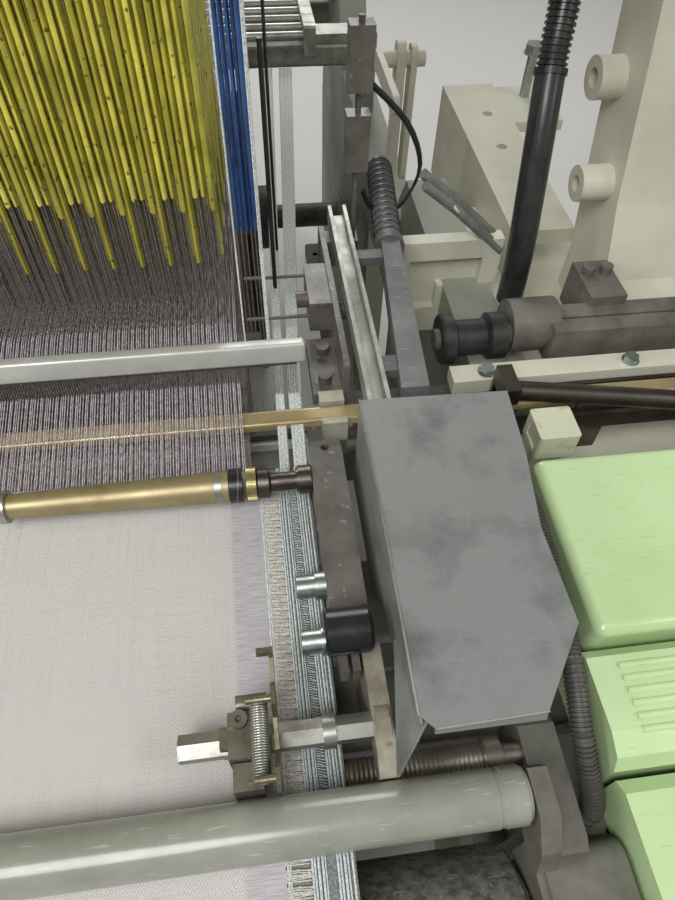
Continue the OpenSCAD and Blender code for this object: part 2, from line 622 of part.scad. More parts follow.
module warp_beam() {
  half = cloth_w / 2 + 10;
  r = shaft_r + 10;
  color([0.6, 0.6, 0.62]) fell() turned_x(beam_y, beam_z) polygon([[0, -shaft_end], [r, -shaft_end],
    [r, -half - 60], [80, -half - 60], [80, -half - 14], [flange_r, -half - 14], [flange_r, -half],
    [yarn_r, -half],
    [yarn_r, half], [flange_r, half], [flange_r, half + 14], [80, half + 14], [80, half + 60], [r,
    half + 60],
    [r, shaft_end], [0, shaft_end]]);
}
module back_rest_roller() {
  rest_half = cloth_w / 2 + 150;
  color([0.6, 0.6, 0.62]) fell() turned_x(rest_y, rest_z) polygon([[0, -shaft_end], [shaft_r, -shaft_end],
    [shaft_r, -rest_half], [rest_r, -rest_half], [rest_r, rest_half], [shaft_r, rest_half], [shaft_r,
    shaft_end],
    [0, shaft_end]]);
}
module stop_motion() {
  color([0.75, 0.76, 0.78]) fell() {
    for (i = [0 : 4]) rod_x(-700 - edge_shift, 700 + edge_shift, 1000 + i * 38, -warp_t - 9.5, 8);
    both() difference() {
      along_x(690, 712) plate2([982, -44], [1170, 12], 6);
      for (i = [0 : 4]) block([689, 1000 + i * 38 - 1, -2], [713, 1000 + i * 38 + 1, 13]);
    }
    both() block([712, 1050, -44], [frame_x + 40, 1100, -28]);
    both() block([frame_x, 1050, rear_top], [frame_x + 40, 1100, -44 + eps]);
    along_x(-frame_x - edge_shift, frame_x + edge_shift) plate2([1040, -84], [1110, -44 + eps], 6);
  }
}

// Sley and reed

module reed() {
  color([0.75, 0.76, 0.77]) fell() sley_frame() difference() {
    union() {
      along_x(-reed_x - 6, reed_x + 6) {
        plate2([-baulk_t / 2, reed_top - baulk_h], [baulk_t / 2, reed_top], 3);
        plate2([-baulk_t / 2, reed_low], [baulk_t / 2, reed_low + baulk_h], 3);
      }
      block([-reed_x, -3, reed_low + baulk_h - 1], [reed_x, 3, reed_top - baulk_h + 1]);
    }
    for (i = [0 : reed_gaps - 1]) let (p = (2 * reed_x - dent_t) / reed_gaps, x = -reed_x + dent_t + i * p)
      block([x, -4, reed_low + baulk_h], [x + p - dent_t, 4, reed_top - baulk_h]);
  }
}
module sley() {
  color([0.45, 0.45, 0.46]) fell() sley_frame() {
    difference() {
      along_x(-reed_x - 6, reed_x + 6) plate2([-34, reed_low - 46], [36, reed_low + 12], 6);
      block([-reed_x - 7, -baulk_t / 2, reed_low], [reed_x + 7, baulk_t / 2, reed_low + 20]);
    }
    for (x = [-560, -190, 190, 560]) along_x(x - 16, x + 16) difference() {
      union() {
        circle(rock_r + 20);
        polygon([[-rock_r - 16, 0], [rock_r + 16, 0], [30, reed_low - 46], [-28, reed_low - 46]]);
      }
      translate([0, reed_low * 0.55]) circle(16);
    }
    rod_x(-shaft_end, shaft_end, 0, 0, rock_r);
  }
}

// Temples and what carries them

swivel_x = 525;
module temple() {
  difference() {
    turned_x(-temple_y, temple_h) polygon([[0, temple_x - 12], [temple_r * 0.45, temple_x - 12],
      [temple_r * 0.72, temple_x], [temple_r * 0.78, temple_x + 4], [temple_r * 0.78, temple_x + 12],
      [temple_r, swivel_x - 8], [temple_r, swivel_x], [0, swivel_x]]);
    rod_x(temple_x + 20, swivel_x + 1, -temple_y, temple_h, temple_pin_r + run_gap);
  }
}
module temple_right() { color([0.6, 0.5, 0.22]) fell() right() temple(); }
module temple_left() { color([0.6, 0.5, 0.22]) fell() left() temple(); }
module temple_joints() {
  s = swivel_x + soft_gap;
  color([0.3, 0.29, 0.27]) fell() both() {
    rod_x(temple_x + 21, s + 1, -temple_y, temple_h, temple_pin_r);
    turned_x(-temple_y, temple_h) polygon([[0, s], [temple_r, s], [temple_r + 1, s + 2], [temple_r + 1,
      s + 7],
      [temple_r - 1, s + 8], [temple_r + 1, s + 9], [temple_r + 1, s + 14], [temple_r - 1.5, s + 16],
      [temple_r - 1.5, s + 36], [8, s + 41], [8, arm_x - 14], [13, arm_x - 12], [13, arm_x], [0, arm_x]]);
  }
}
arm_front = -187;
module temple_arms() {
  color([0.33, 0.3, 0.27]) fell() both() {
    difference() {
      along_x(arm_x, arm_x + arm_w) polygon([[arm_front, arm_top - 46], [arm_front, arm_top], [0, arm_top],
        [14, arm_top - 8], [20, arm_top - 20], [16, arm_top - 38], [4, arm_top - 46]]);
      along_x(arm_x - 1, arm_x + 5) plate2([-120, arm_top - 36], [-60, arm_top - 12], 8);
      rod_z(arm_top - 20, arm_top + 1, arm_x + arm_w / 2, 0, 4);
    }
    for (x = [arm_x + 3, arm_x + 12]) block([x, arm_front - 18, arm_top - 24], [x + 6, arm_front + eps,
      arm_top - 4]);
  }
}
cap_r = 17.5;
module arm_caps() {
  color([0.08, 0.08, 0.09]) fell() both() turned_x(arm_front + 5, arm_top + cap_r) polygon([[0, arm_x - 7],
    [cap_r - 2, arm_x - 7], [cap_r, arm_x - 5], [cap_r, arm_x + 25], [cap_r - 3, arm_x + 28], [0,
    arm_x + 28]]);
}
module zinc_studs() {
  color([0.7, 0.72, 0.72]) fell() both() for (y = [-130, -176]) turned_x(y, arm_top - 12)
    polygon([[0, arm_x - 24], [8.5, arm_x - 24], [9.5, arm_x - 23], [9.5, arm_x - 8], [11.6, arm_x - 8],
      [11.6, arm_x], [0, arm_x]]);
}
post_x0 = arm_x + 20;
hex_y = -243;
hex_z = 25;
module cast_posts() {
  color([0.6, 0.57, 0.5]) fell() both() union() {
    along_x(post_x0, post_x0 + 14) polygon([[arm_front, 8], [arm_front, arm_top - 1], [-200, arm_top + 1],
      [-262, arm_top - 1],
      [-278, arm_top - 10], [-276, 6], [-234, 0], [-226, beam_top], [-192, beam_top], [-196, 2]]);
    along_x(post_x0 + 2, post_x0 + 12) translate([hex_y, hex_z]) circle(14);
  }
}
module hex_shafts() {
  color([0.5, 0.5, 0.49]) fell() both() {
    translate([484, hex_y, hex_z]) rotate([0, 90, 0]) cylinder(h = post_x0 - 484, r = hex_af / sqrt(3),
      $fn = 6);
    rod_x(583, 592, hex_y, hex_z, hex_af / sqrt(3) + 2);
  }
}
hole_r = hex_af / sqrt(3) + 0.2;
clamp_front = -276.5;
spring_y = -228;
spring_z = 51.5;
module clamp_plate() {
  color([0.68, 0.6, 0.35]) fell() right() difference() {
    union() {
      along_x(550, 553) polygon([[-186, 44], [-190, 36], [-214, 34], [-224, 8], [-274, 6], [clamp_front,
        20], [-262, 42],
        [-236, 48], [-232, 65], [-220, 65], [-212, 48], [-196, 52]]);
      block([541, -190, 40], [553, -186, 47]);
      rod_x(533, 551, spring_y + 1.5, spring_z + 8.8, 2.6);
      rod_x(537, 551, spring_y - 48, spring_z + 8.8, 2.6);
      along_x(550, 553) polygon([[-262, 40], [-270, 30], [clamp_front, 34], [-282, 48], [-281, 65], [-271,
        65], [-256, 46]]);
    }
    rod_x(549, 554, hex_y, hex_z, hole_r);
  }
}
module clamp_block() {
  color([0.45, 0.42, 0.38]) fell() right() difference() {
    union() {
      block([519, -258, 8], [541, -228, 44]);
      block([521, clamp_front, 10], [541, -259 + eps, 36]);
      rod_z(44, 49, 527, -234, 6);
      block([513, -250, 12], [519 + eps, -236, 40]);
      rod_x(525, 546, -222, 40, 6);
      block([525, -229, 30], [541, -220, 40]);
    }
    rod_x(510, 550, hex_y, hex_z, hole_r);
    rod_z(46, 50, 527, -234, 2.5);
  }
}
function coil(r, pitch, turns, per) = [for (i = [0 : turns * per]) let (a = 180 + 360 * i / per)
  [r * cos(a), -pitch * i / per, r * sin(a)]];
module clamp_spring() {
  color([0.62, 0.61, 0.58]) fell() right() translate([541, spring_y, spring_z])
    swept(concat([[-5.5, 1.2, 5.8], [-5.5, 0.6, 3]], coil(5.5, 3.76, 12.5, 8),
      [[5.5, -47.6, 3], [5.5, -48.2, 5.8]]), 1.1, 5);
}
beam_top = -62;
module breast_beam() {
  color([0.35, 0.35, 0.34]) fell() {
    along_x(-frame_x - edge_shift, frame_x + edge_shift) difference() {
      plate2([-238, beam_top - 90], [-150, beam_top], 8);
      plate2([-230, beam_top - 82], [-158, beam_top - 8], 4);
    }
    along_x(-cloth_w / 2 - 20, cloth_w / 2 + 20) polygon([[-190, beam_top], [-168, beam_top], [-168, -8],
      [-171, -cloth_t / 2 - soft_gap], [-187, -cloth_t / 2 - soft_gap], [-190, -8]]);
  }
}
spread_r = 12;
module spreader_bar() {
  z = -cloth_t / 2 - soft_gap - spread_r;
  ribs = 36;
  pitch = 3.5;
  x0 = 574;
  x1 = x0 + ribs * pitch;
  half = concat([[spread_r, -edge_shift], [spread_r, x0]],
    [for (i = [0 : ribs - 1]) each [[spread_r - 1, x0 + i * pitch + pitch / 2], [spread_r,
    x0 + (i + 1) * pitch]]],
    [[spread_r + 2, x1], [spread_r + 2, x1 + 12], [8, x1 + 14], [8, cast_x], [0, cast_x], [0,
    -edge_shift]]);
  color([0.4, 0.37, 0.32]) fell() both() turned_x(-266, z) polygon(half);
}
cast_x = 728;
module press_brackets() {
  color([0.43, 0.41, 0.36]) fell() both() difference() {
    union() {
      along_x(722, 780) plate2([-480, grip_z - 60], [-326, -8], 16);
      along_x(761, 782) polygon([[-330, -70], [-330, -14], [-322, -36], [-252, -36], [-242, -46], [-240,
        -70]]);
      along_x(716, 730) polygon([[-330, -20], [-346, -20], [-334, 14], [-315, press_z + 13], [-285,
        press_z + 13],
        [-281, press_z], [-286, 4], [-300, -14]]);
      along_x(cast_x, 756) polygon([[-336, -60], [-336, -12], [-326, -4], [-250, -2], [-241, -10], [-241,
        -60]]);
      block([755, -330, -70], [762, -242, -37]);
      along_x(716, 730) plate2([-400, -60], [-322, -10], 6);
      along_x(779, frame_x - 8) plate2([-470, grip_z - 50], [-336, -66], 10);
      along_x(781, frame_x) plate2([-320, -70], [-242, -37], 4);
    }
    rod_x(715, 731, -press_y, press_z, 8 + run_gap);
    rod_x(714, frame_x + 1, grip_y, grip_z, shaft_r + run_gap);
  }
}

// Right-hand fittings beside the reed

module guards() {
  t = sheet_t;
  z = guard_h;
  color([0.27, 0.29, 0.3]) fell() both() {
    translate([0, 0, z - t]) linear_extrude(t) polygon([[641, -5], [767, -8], [763, -76], [754, -142],
      [641, -142]]);
    translate([0, -141, z]) rotate([5, 0, 0]) translate([0, 141, -t]) linear_extrude(t)
      polygon([[641, -140], [754, -140], [759, -213], [723, -265], [650, -267], [641, -258]]);
    along_x(641, 641 + t) polygon([[-5, z - t / 2], [-140, z - t / 2], [-262, z - 12], [-266, 60], [-250,
      38], [-165, 30],
      [-120, -20], [-5, -20]]);
    block([643, -30, 52], [654, -10, 68]);
    along_x(650, 722) polygon([[-263, z - 12], [-266, z - 12], [-268, z - 18], [-266, z - 18]]);
    hull() for (p = [[645, -261, z - 14], [627, -282, 46], [640, -196, 52]]) translate(p) cube(t);
  }
}
module channel_bar() {
  color([0.74, 0.74, 0.7]) fell() both() difference() {
    block([654, -30, 50], [675, 324, 70]);
    block([658, -31, 56], [671, 325, 71]);
  }
}
module leno_device() {
  color([0.2, 0.2, 0.2]) fell() both() {
    difference() {
      along_x(642, 648) plate2([86, -100], [320, 50], 8);
      for (y = [120, 200, 280]) rod_x(641, 649, y, -40, 14);
    }
    block([648, 110, -100], [frame_x, 160, -72]);
    block([612, 90, -10], [642, 171, 6]);
    block([618, 182, 8], [642, 250, 46]);
    block([654, 290, 44], [675, 312, 50]);
    block([648, 290, 10], [686, 312, 44]);
    rod_z(44 - eps, 276, 681, 301, 3);
    for (z = [128, 210]) block([669, 292, z], [693, 310, z + 60]);
    for (p = [[194, 20], [238, 40]]) rod_x(551, 620, p[0], p[1], 2);
    rod_z(6, 16, 626, 108, 7);
    rod_z(6, 16, 628, 150, 7);
    rod_x(606, 618, 210, 30, 9);
    rod_x(648, 662, 200, 20, 11);
  }
}
module suction_duct() {
  color([0.3, 0.32, 0.34]) fell() right() {
    hull() {
      block([686, 30, 48], [712, 31, 72]);
      block([706, 262, 48], [726, 263, 70]);
    }
    translate([716, 263, 59]) rotate([-90, 0, -5.5]) rotate_extrude($fn = 32)
      polygon(concat([[0, -10], [16, -10], [16, 3]],
        [for (i = [0 : 12]) each [[12, i * 12 + 5], [15, i * 12 + 6], [15, i * 12 + 12], [12, i * 12 + 13]]],
        [[12, 164], [0, 164]]));
    block([675, 60, 54], [692, 80, 64]);
    block([675, 230, 54], [708, 245, 64]);
  }
}
bush_y = 158;
bush_z = 4;
module rubber_bush() {
  color([0.07, 0.07, 0.08]) fell() right() turned_x(bush_y, bush_z) polygon([[12.3, 758], [26, 758], [28,
    761], [28, 772],
    [20, 776], [20, 808], [26, 812], [26, 830], [12.3, 830]]);
}
module clamp_bar() {
  color([0.45, 0.46, 0.45]) fell() right() {
    rod_x(752, 850, bush_y, bush_z, 12);
    rod_x(838, 892, bush_y + 14, bush_z, 30);
    difference() {
      block([880, 134, -24], [cabinet_out - 20, 178, 24]);
      block([884, 154, -2], [cabinet_out - 19, 157, 25]);
    }
    block([930, 172, -18], [972, 236, 36]);
    block([900, 138, well_top], [1010, 176, -24]);
    for (x = [940, 961]) rod_z(36, 46, x, 214, 7);
  }
}
module column_arm() {
  color([0.7, 0.7, 0.6]) fell() right() {
    difference() {
      along_x(975, 1062) polygon([[196, well_top], [330, well_top], [330, -10], [420, 360], [340, 360],
        [262, 90], [228, 10], [196, -6]]);
      along_x(990, 1063) polygon([[260, -20], [318, -20], [396, 340], [352, 340], [286, 90]]);
    }
    difference() {
      rod_x(938, 976, 300, 96, 20);
      rod_x(937, 970, 300, 96, 9);
    }
    difference() {
      rod_x(946, 976, 350, 190, 22);
      rod_x(945, 970, 350, 190, 10);
    }
  }
}
module cream_bracket() {
  color([0.8, 0.79, 0.68]) fell() right() difference() {
    union() {
      block([900, 350, -22], [985, 760, 0]);
      block([900, 350, well_top], [916, 431, -21]);
      block([900, 430, -150], [916, 760, -21]);
      block([frame_out, 228, well_top], [888, 264, frame_top]);
      block([frame_out, 440, -150], [901, 500, -60]);
      block([985 - eps, 640, -22], [1070, 760, -6]);
      block([744, 296, -110], [frame_x, 314, 30]);
      block([frame_x - eps, 296, frame_top], [868, 314, 30]);
      rod_x(745, 811, 560, 128, 10);
      rod_x(760, frame_x, 560, -105, 12);
      along_x(772, 784) plate2([548, -120], [572, 150], 11);
      along_x(791, 799) plate2([546, -40], [572, 146], 11);
      along_x(745, 753) plate2([425, 116], [572, 140], 11);
    }
    block([753, 295, frame_top], [845, 308, 4]);
    block([753, 295, -70], [792, 308, frame_top + 1]);
    rod_z(-30, 5, 950, 660, 8);
    rod_z(-30, 5, 945, 560, 8);
  }
}
hose_route = [[870, 247, -22], [870, 247, 0], [869, 252, 60], [874, 285, 150], [886, 335, 250], [905, 385,
  350],
  [960, 430, 440], [1080, 455, 500], [1240, 460, 520], [1400, 460, 520], [1460, 460, 520]];
module cable_hose() {
  color([0.1, 0.1, 0.11]) fell() right() swept(concat([[870, 247, frame_top]], smooth(hose_route, 3)), 16,
    12);
}
conduit_route = [[809, -24, -30], [807, -25, -22], [799, -28, -11], [789, -33, 0], [782, -40, 14], [779,
  -53, 28],
  [779, -74, 37], [779, -103, 40], [775, -160, 40], [769, -219, 38], [765, -262, 26], [767, -288, 7],
  [771, -302, -10],
  [772, -308, -22], [772, -309, -30]];
module conduit() {
  color([0.24, 0.22, 0.2]) fell() right() swept(concat([[809, -24, frame_top]], smooth(conduit_route, 3),
    [[772, -309, -36]]), 8, 10);
}
module sensor_box() {
  color([0.78, 0.8, 0.68]) fell() right() {
    difference() {
      translate([0, 0, 12]) linear_extrude(30) plate2([809, -20], [848, 17], 3);
      block([808, -13, 18], [811, 9, 36]);
    }
    block([822, 2, frame_top], [834, 12, 12 + eps]);
  }
}
module hex_bolt(x, y, z, r, h) {
  translate([x, y, z]) {
    cylinder(h = h, r = r, $fn = 6);
    cylinder(h = 1, r = r + 1.5);
  }
}
module fasteners() {
  color([0.72, 0.73, 0.72]) fell() {
    right() {
      for (x = [800, 962, 1150, 1300]) hex_bolt(x, rapier_y + rod_w / 2 + 33, 0, 8, 7);
      for (x = [1040, 1200]) hex_bolt(x, 166, 24, 9, 8);
      for (x = [700, 740]) hex_bolt(x, 135, -72, 8, 7);
      rod_z(-6, 60, 1031, 726, 8);
      hex_bolt(1031, 726, 60, 15, 14);
    }
    both() for (y = [-170, -222]) hex_bolt(post_x0 + 30, y, beam_top, 6, 6);
  }
}

side_frames();
cross_beams();
machine_feet();
gantry();
jacquard_head();
comberboard();
harness_cords();
harness_springs();
drive_cabinets();
top_cover_right();
top_cover_left();
ribbed_covers();
front_covers();
rapier_housings();
rapier_rails();
guards();
channel_bar();
suction_duct();
leno_device();
rapier_guides();
clamp_bar();
rubber_bush();
column_arm();
cream_bracket();
cable_hose();
conduit();
sensor_box();
temple_arms();
temple_joints();
arm_caps();
zinc_studs();
cast_posts();
hex_shafts();
clamp_plate();
clamp_block();
clamp_spring();
breast_beam();
spreader_bar();
press_brackets();
stop_motion();
fasteners();
cloth();
warp_back();
warp_upper();
warp_lower();
heddles_raised();
heddles_lowered();
reed();
sley();
temple_right();
temple_left();
grip_roller();
press_tube();
cloth_roll();
warp_beam();
back_rest_roller();
rapier_right();
rapier_left();
pinion_right();
pinion_left();
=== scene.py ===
import math
import random
import bpy
from mathutils import Matrix, Vector


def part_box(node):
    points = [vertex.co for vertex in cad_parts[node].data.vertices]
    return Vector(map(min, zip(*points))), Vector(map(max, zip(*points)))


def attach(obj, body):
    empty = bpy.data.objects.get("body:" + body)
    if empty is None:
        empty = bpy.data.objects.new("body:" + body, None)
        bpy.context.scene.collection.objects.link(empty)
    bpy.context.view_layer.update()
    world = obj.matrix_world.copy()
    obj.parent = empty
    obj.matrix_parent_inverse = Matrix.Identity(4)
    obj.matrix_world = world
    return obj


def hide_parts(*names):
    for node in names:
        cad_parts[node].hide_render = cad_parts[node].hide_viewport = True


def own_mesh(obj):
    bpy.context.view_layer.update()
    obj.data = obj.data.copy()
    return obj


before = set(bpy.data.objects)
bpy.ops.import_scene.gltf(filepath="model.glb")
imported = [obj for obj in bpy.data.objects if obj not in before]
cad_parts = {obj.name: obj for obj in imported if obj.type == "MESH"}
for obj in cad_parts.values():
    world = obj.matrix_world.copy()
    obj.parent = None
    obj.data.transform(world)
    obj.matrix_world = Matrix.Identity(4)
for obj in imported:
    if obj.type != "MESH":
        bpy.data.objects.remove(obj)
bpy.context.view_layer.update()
bpy.ops.object.select_all(action="DESELECT")

# Viewpoint
# The photograph is taken from over the right end of the cloth, looking down and a little to the right.
# Places are given in millimetres from the middle of the fell, the line where the last pick lies.
mm = 0.001
fell_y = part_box("cloth")[1].y - 5 * mm
warp_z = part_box("cloth")[1].z - 0.6 * mm


def at(x, v, w):
    return Vector((x * mm, fell_y + v * mm, warp_z + w * mm))


turn, tilt, roll = 8.9, 52.5, 1.96
sight = bpy.data.cameras.new("sight")
sight.lens = 27.04
sight.clip_start = 0.01
camera = bpy.data.objects.new("camera", sight)
bpy.context.collection.objects.link(camera)
camera.matrix_world = (Matrix.Translation(at(566.34, -373.21, 520))
    @ Matrix.Rotation(math.radians(-turn), 4, "Z")
    @ Matrix.Rotation(math.radians(90 - tilt), 4, "X")
    @ Matrix.Rotation(math.radians(roll), 4, "Z"))
bpy.context.scene.camera = camera
bpy.context.scene.view_settings.view_transform = "Standard"

# Studio
# A pale floor, a surround that is white to the eye and a dimmer grey to the pieces, and four soft lamps.
bpy.ops.mesh.primitive_plane_add(size=24, location=(0, 0, 0))
floor = bpy.context.object
floor.name = "floor"
floor_paint = bpy.data.materials.new("floor_paint")
floor_paint.use_nodes = True
floor_shader = floor_paint.node_tree.nodes["Principled BSDF"]
floor_shader.inputs["Base Color"].default_value = (0.72, 0.71, 0.68, 1)
floor_shader.inputs["Roughness"].default_value = 0.8
floor.data.materials.append(floor_paint)
world = bpy.data.worlds.new("surround")
bpy.context.scene.world = world
world.use_nodes = True
air = world.node_tree
glow = air.nodes["Background"]
glow.inputs["Color"].default_value = (1, 1, 0.98, 1)
glow.inputs["Strength"].default_value = 0.3
shown = air.nodes.new("ShaderNodeBackground")
shown.inputs["Color"].default_value = (0.9, 0.9, 0.88, 1)
rays = air.nodes.new("ShaderNodeLightPath")
seen = air.nodes.new("ShaderNodeMath")
seen.operation = "MAXIMUM"
air.links.new(rays.outputs["Is Camera Ray"], seen.inputs[0])
air.links.new(rays.outputs["Is Transmission Ray"], seen.inputs[1])
pick = air.nodes.new("ShaderNodeMixShader")
air.links.new(seen.outputs[0], pick.inputs[0])
air.links.new(glow.outputs[0], pick.inputs[1])
air.links.new(shown.outputs[0], pick.inputs[2])
air.links.new(pick.outputs[0], air.nodes["World Output"].inputs[0])
lamps = (("over_cloth", (-0.4, -2.2, 3.6), (0.3, -0.4, 0.9), 1.8, 74),
    ("from_left", (-3.0, -1.0, 2.9), (0.2, -0.3, 1.0), 1.6, 52),
    ("from_right", (3.2, -1.8, 3.2), (0.6, -0.4, 1.0), 2.0, 40),
    ("behind", (0.6, 3.4, 3.4), (0.4, 0.4, 1.2), 2.2, 60))
for name, place, aim, size, power in lamps:
    light = bpy.data.lights.new(name, "AREA")
    light.shape = "DISK"
    light.size = size
    light.energy = power
    lamp = bpy.data.objects.new(name, light)
    lamp.location = place
    lamp.rotation_euler = (Vector(aim) - Vector(place)).to_track_quat("-Z", "Y").to_euler()
    bpy.context.collection.objects.link(lamp)

# Painted frame and cabinets
# The side frames, ties and gantry are castings and tubes under one coat of grey paint; the cabinets and
# the jacquard head are cream. Oil and lint have dulled both in blotches.


def linear(r, g, b):
    return tuple(((c / 255 + 0.055) / 1.055) ** 2.4 if c > 10 else c / 3295 for c in (r, g, b)) + (1,)


def wear_group():
    """Masks of wear from a place in metres: blotches, grain, thin scratches and specks."""
    group = bpy.data.node_groups.new("surface_wear", "ShaderNodeTree")
    face = group.interface
    face.new_socket("Vector", in_out="INPUT", socket_type="NodeSocketVector")
    for name in ("Blotch", "Grain", "Scratch"):
        face.new_socket(name + " scale", in_out="INPUT", socket_type="NodeSocketFloat")
    for name in ("Blotches", "Grain", "Scratches", "Specks"):
        face.new_socket(name, in_out="OUTPUT", socket_type="NodeSocketFloat")
    into, out = group.nodes.new("NodeGroupInput"), group.nodes.new("NodeGroupOutput")

    def noise(detail, rough, scale, vector):
        made = group.nodes.new("ShaderNodeTexNoise")
        made.inputs["Detail"].default_value = detail
        made.inputs["Roughness"].default_value = rough
        group.links.new(vector, made.inputs["Vector"])
        group.links.new(scale, made.inputs["Scale"])
        return made.outputs["Fac"]

    def between(value, low, high):
        made = group.nodes.new("ShaderNodeMapRange")
        made.inputs["From Min"].default_value = low
        made.inputs["From Max"].default_value = high
        group.links.new(value, made.inputs["Value"])
        return made.outputs["Result"]

    def maths(kind, first, second):
        made = group.nodes.new("ShaderNodeMath")
        made.operation = kind
        group.links.new(first, made.inputs[0])
        if isinstance(second, float):
            made.inputs[1].default_value = second
        else:
            group.links.new(second, made.inputs[1])
        return made.outputs[0]

    where = into.outputs["Vector"]
    group.links.new(noise(6, 0.62, into.outputs["Blotch scale"], where), out.inputs["Blotches"])
    group.links.new(noise(3, 0.7, into.outputs["Grain scale"], where), out.inputs["Grain"])
    half = maths("MULTIPLY", into.outputs["Grain scale"], 0.45)
    group.links.new(between(noise(1, 0.5, half, where), 0.68, 0.73), out.inputs["Specks"])
    most = None
    for angle, stretch in ((0.5, 0.12), (-0.9, 0.09), (1.4, 0.1)):
        lay = group.nodes.new("ShaderNodeMapping")
        lay.inputs["Rotation"].default_value = (0.3 * angle, 0.2, angle)
        lay.inputs["Scale"].default_value = (stretch, 1, 1)
        group.links.new(where, lay.inputs["Vector"])
        thin = between(noise(1, 0.5, into.outputs["Scratch scale"], lay.outputs["Vector"]), 0.72, 0.75)
        most = thin if most is None else maths("MAXIMUM", most, thin)
    group.links.new(most, out.inputs["Scratches"])
    return group


surface_wear = wear_group()


def surface(name, colour, worn, rough, metal=0, coat=0, blotch=9, grain=500, bump=0.15, reach=(0.35, 0.7),
    scratch=0, speck=0, mark=(170, 172, 170)):
    """A finish whose colour goes to worn in blotches, with grain in its bump, scratches and specks."""
    material = bpy.data.materials.new(name)
    material.use_nodes = True
    tree = material.node_tree
    shader = tree.nodes["Principled BSDF"]
    shader.inputs["Metallic"].default_value = metal
    shader.inputs["Coat Weight"].default_value = coat
    shader.inputs["Coat Roughness"].default_value = 0.12
    where = tree.nodes.new("ShaderNodeTexCoord")
    wear = tree.nodes.new("ShaderNodeGroup")
    wear.node_tree = surface_wear
    wear.inputs["Blotch scale"].default_value = blotch
    wear.inputs["Grain scale"].default_value = grain
    wear.inputs["Scratch scale"].default_value = 420
    tree.links.new(where.outputs["Object"], wear.inputs["Vector"])
    spread = tree.nodes.new("ShaderNodeMapRange")
    spread.inputs["From Min"].default_value, spread.inputs["From Max"].default_value = reach
    tree.links.new(wear.outputs["Blotches"], spread.inputs["Value"])
    tone = tree.nodes.new("ShaderNodeMix")
    tone.data_type = "RGBA"
    tone.inputs["A"].default_value = linear(*colour)
    tone.inputs["B"].default_value = linear(*worn)
    tree.links.new(spread.outputs["Result"], tone.inputs["Factor"])
    last = tone.outputs["Result"]
    for amount, mask in ((scratch, "Scratches"), (speck, "Specks")):
        if not amount:
            continue
        share = tree.nodes.new("ShaderNodeMath")
        share.operation = "MULTIPLY"
        share.inputs[1].default_value = amount
        tree.links.new(wear.outputs[mask], share.inputs[0])
        scored = tree.nodes.new("ShaderNodeMix")
        scored.data_type = "RGBA"
        scored.inputs["B"].default_value = linear(*mark)
        tree.links.new(share.outputs[0], scored.inputs["Factor"])
        tree.links.new(last, scored.inputs["A"])
        last = scored.outputs["Result"]
    tree.links.new(last, shader.inputs["Base Color"])
    dull = tree.nodes.new("ShaderNodeMapRange")
    dull.inputs["From Min"].default_value, dull.inputs["From Max"].default_value = 0.3, 0.7
    dull.inputs["To Min"].default_value, dull.inputs["To Max"].default_value = rough
    tree.links.new(wear.outputs["Blotches"], dull.inputs["Value"])
    tree.links.new(dull.outputs["Result"], shader.inputs["Roughness"])
    relief = tree.nodes.new("ShaderNodeBump")
    relief.inputs["Strength"].default_value = bump
    relief.inputs["Distance"].default_value = 0.4 * mm
    tree.links.new(wear.outputs["Grain"], relief.inputs["Height"])
    tree.links.new(relief.outputs["Normal"], shader.inputs["Normal"])
    return material


def dress(material, *nodes):
    for node in nodes:
        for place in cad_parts[node].material_slots:
            place.material = material


frame_grey = surface("frame_grey", (150, 152, 138), (132, 133, 120), (0.42, 0.6), blotch=5)
cream_paint = surface("cream_paint", (206, 205, 186), (182, 179, 160), (0.32, 0.5), blotch=5, reach=(0.45, 0.75),
    grain=260)
foot_black = surface("foot_black", (45, 45, 44), (70, 66, 60), (0.5, 0.7))
dress(frame_grey, "side_frames", "cross_beams", "gantry")
dress(cream_paint, "drive_cabinets", "jacquard_head", "rapier_rails", "column_arm", "cream_bracket")
dress(foot_black, "machine_feet")

# Green covers
# Glossy apple green covers of thick moulded sheet over the rapier drive: one that lifts on a hinge,
# a ribbed step and a front apron.
green_paint = surface("green_paint", (194, 217, 168), (176, 202, 146), (0.14, 0.3), coat=0.6, blotch=6,
    grain=45, bump=0.35, scratch=0.2, mark=(120, 136, 100))
dress(green_paint, "top_cover_right", "top_cover_left", "ribbed_covers", "front_covers")

# Castings, steel and plastic
# The small pieces round the temple: oiled and raw castings, bright and zinc-plated steel, plastic.
dark_cast = surface("dark_cast", (108, 104, 97), (76, 71, 66), (0.3, 0.52), blotch=30, grain=300, bump=0.5, coat=0.2,
    speck=0.3)
rough_cast = surface("rough_cast", (150, 144, 128), (104, 97, 85), (0.6, 0.8), blotch=40, grain=220, bump=1.0,
    speck=0.4, mark=(70, 64, 56))
grey_cast = surface("grey_cast", (112, 110, 100), (76, 73, 66), (0.4, 0.6), blotch=25, grain=350, bump=0.5)
guard_slate = surface("guard_slate", (120, 123, 120), (84, 86, 84), (0.3, 0.5), blotch=15, grain=1300, bump=0.3,
    reach=(0.48, 0.7), scratch=0.3, speck=0.4, mark=(132, 136, 132))
duct_slate = surface("duct_slate", (104, 108, 106), (80, 82, 80), (0.36, 0.55), blotch=16, grain=800, bump=0.12,
    scratch=0.5, mark=(160, 162, 156))
bright_steel = surface("bright_steel", (184, 184, 176), (132, 130, 122), (0.26, 0.44), metal=0.85, blotch=30, scratch=0.4)
bar_steel = surface("bar_steel", (174, 176, 166), (140, 140, 128), (0.34, 0.5), metal=0.7, blotch=40, scratch=0.5,
    grain=400, bump=0.4, mark=(210, 212, 206))
oiled_steel = surface("oiled_steel", (112, 107, 100), (74, 68, 62), (0.25, 0.45), metal=1, blotch=30)
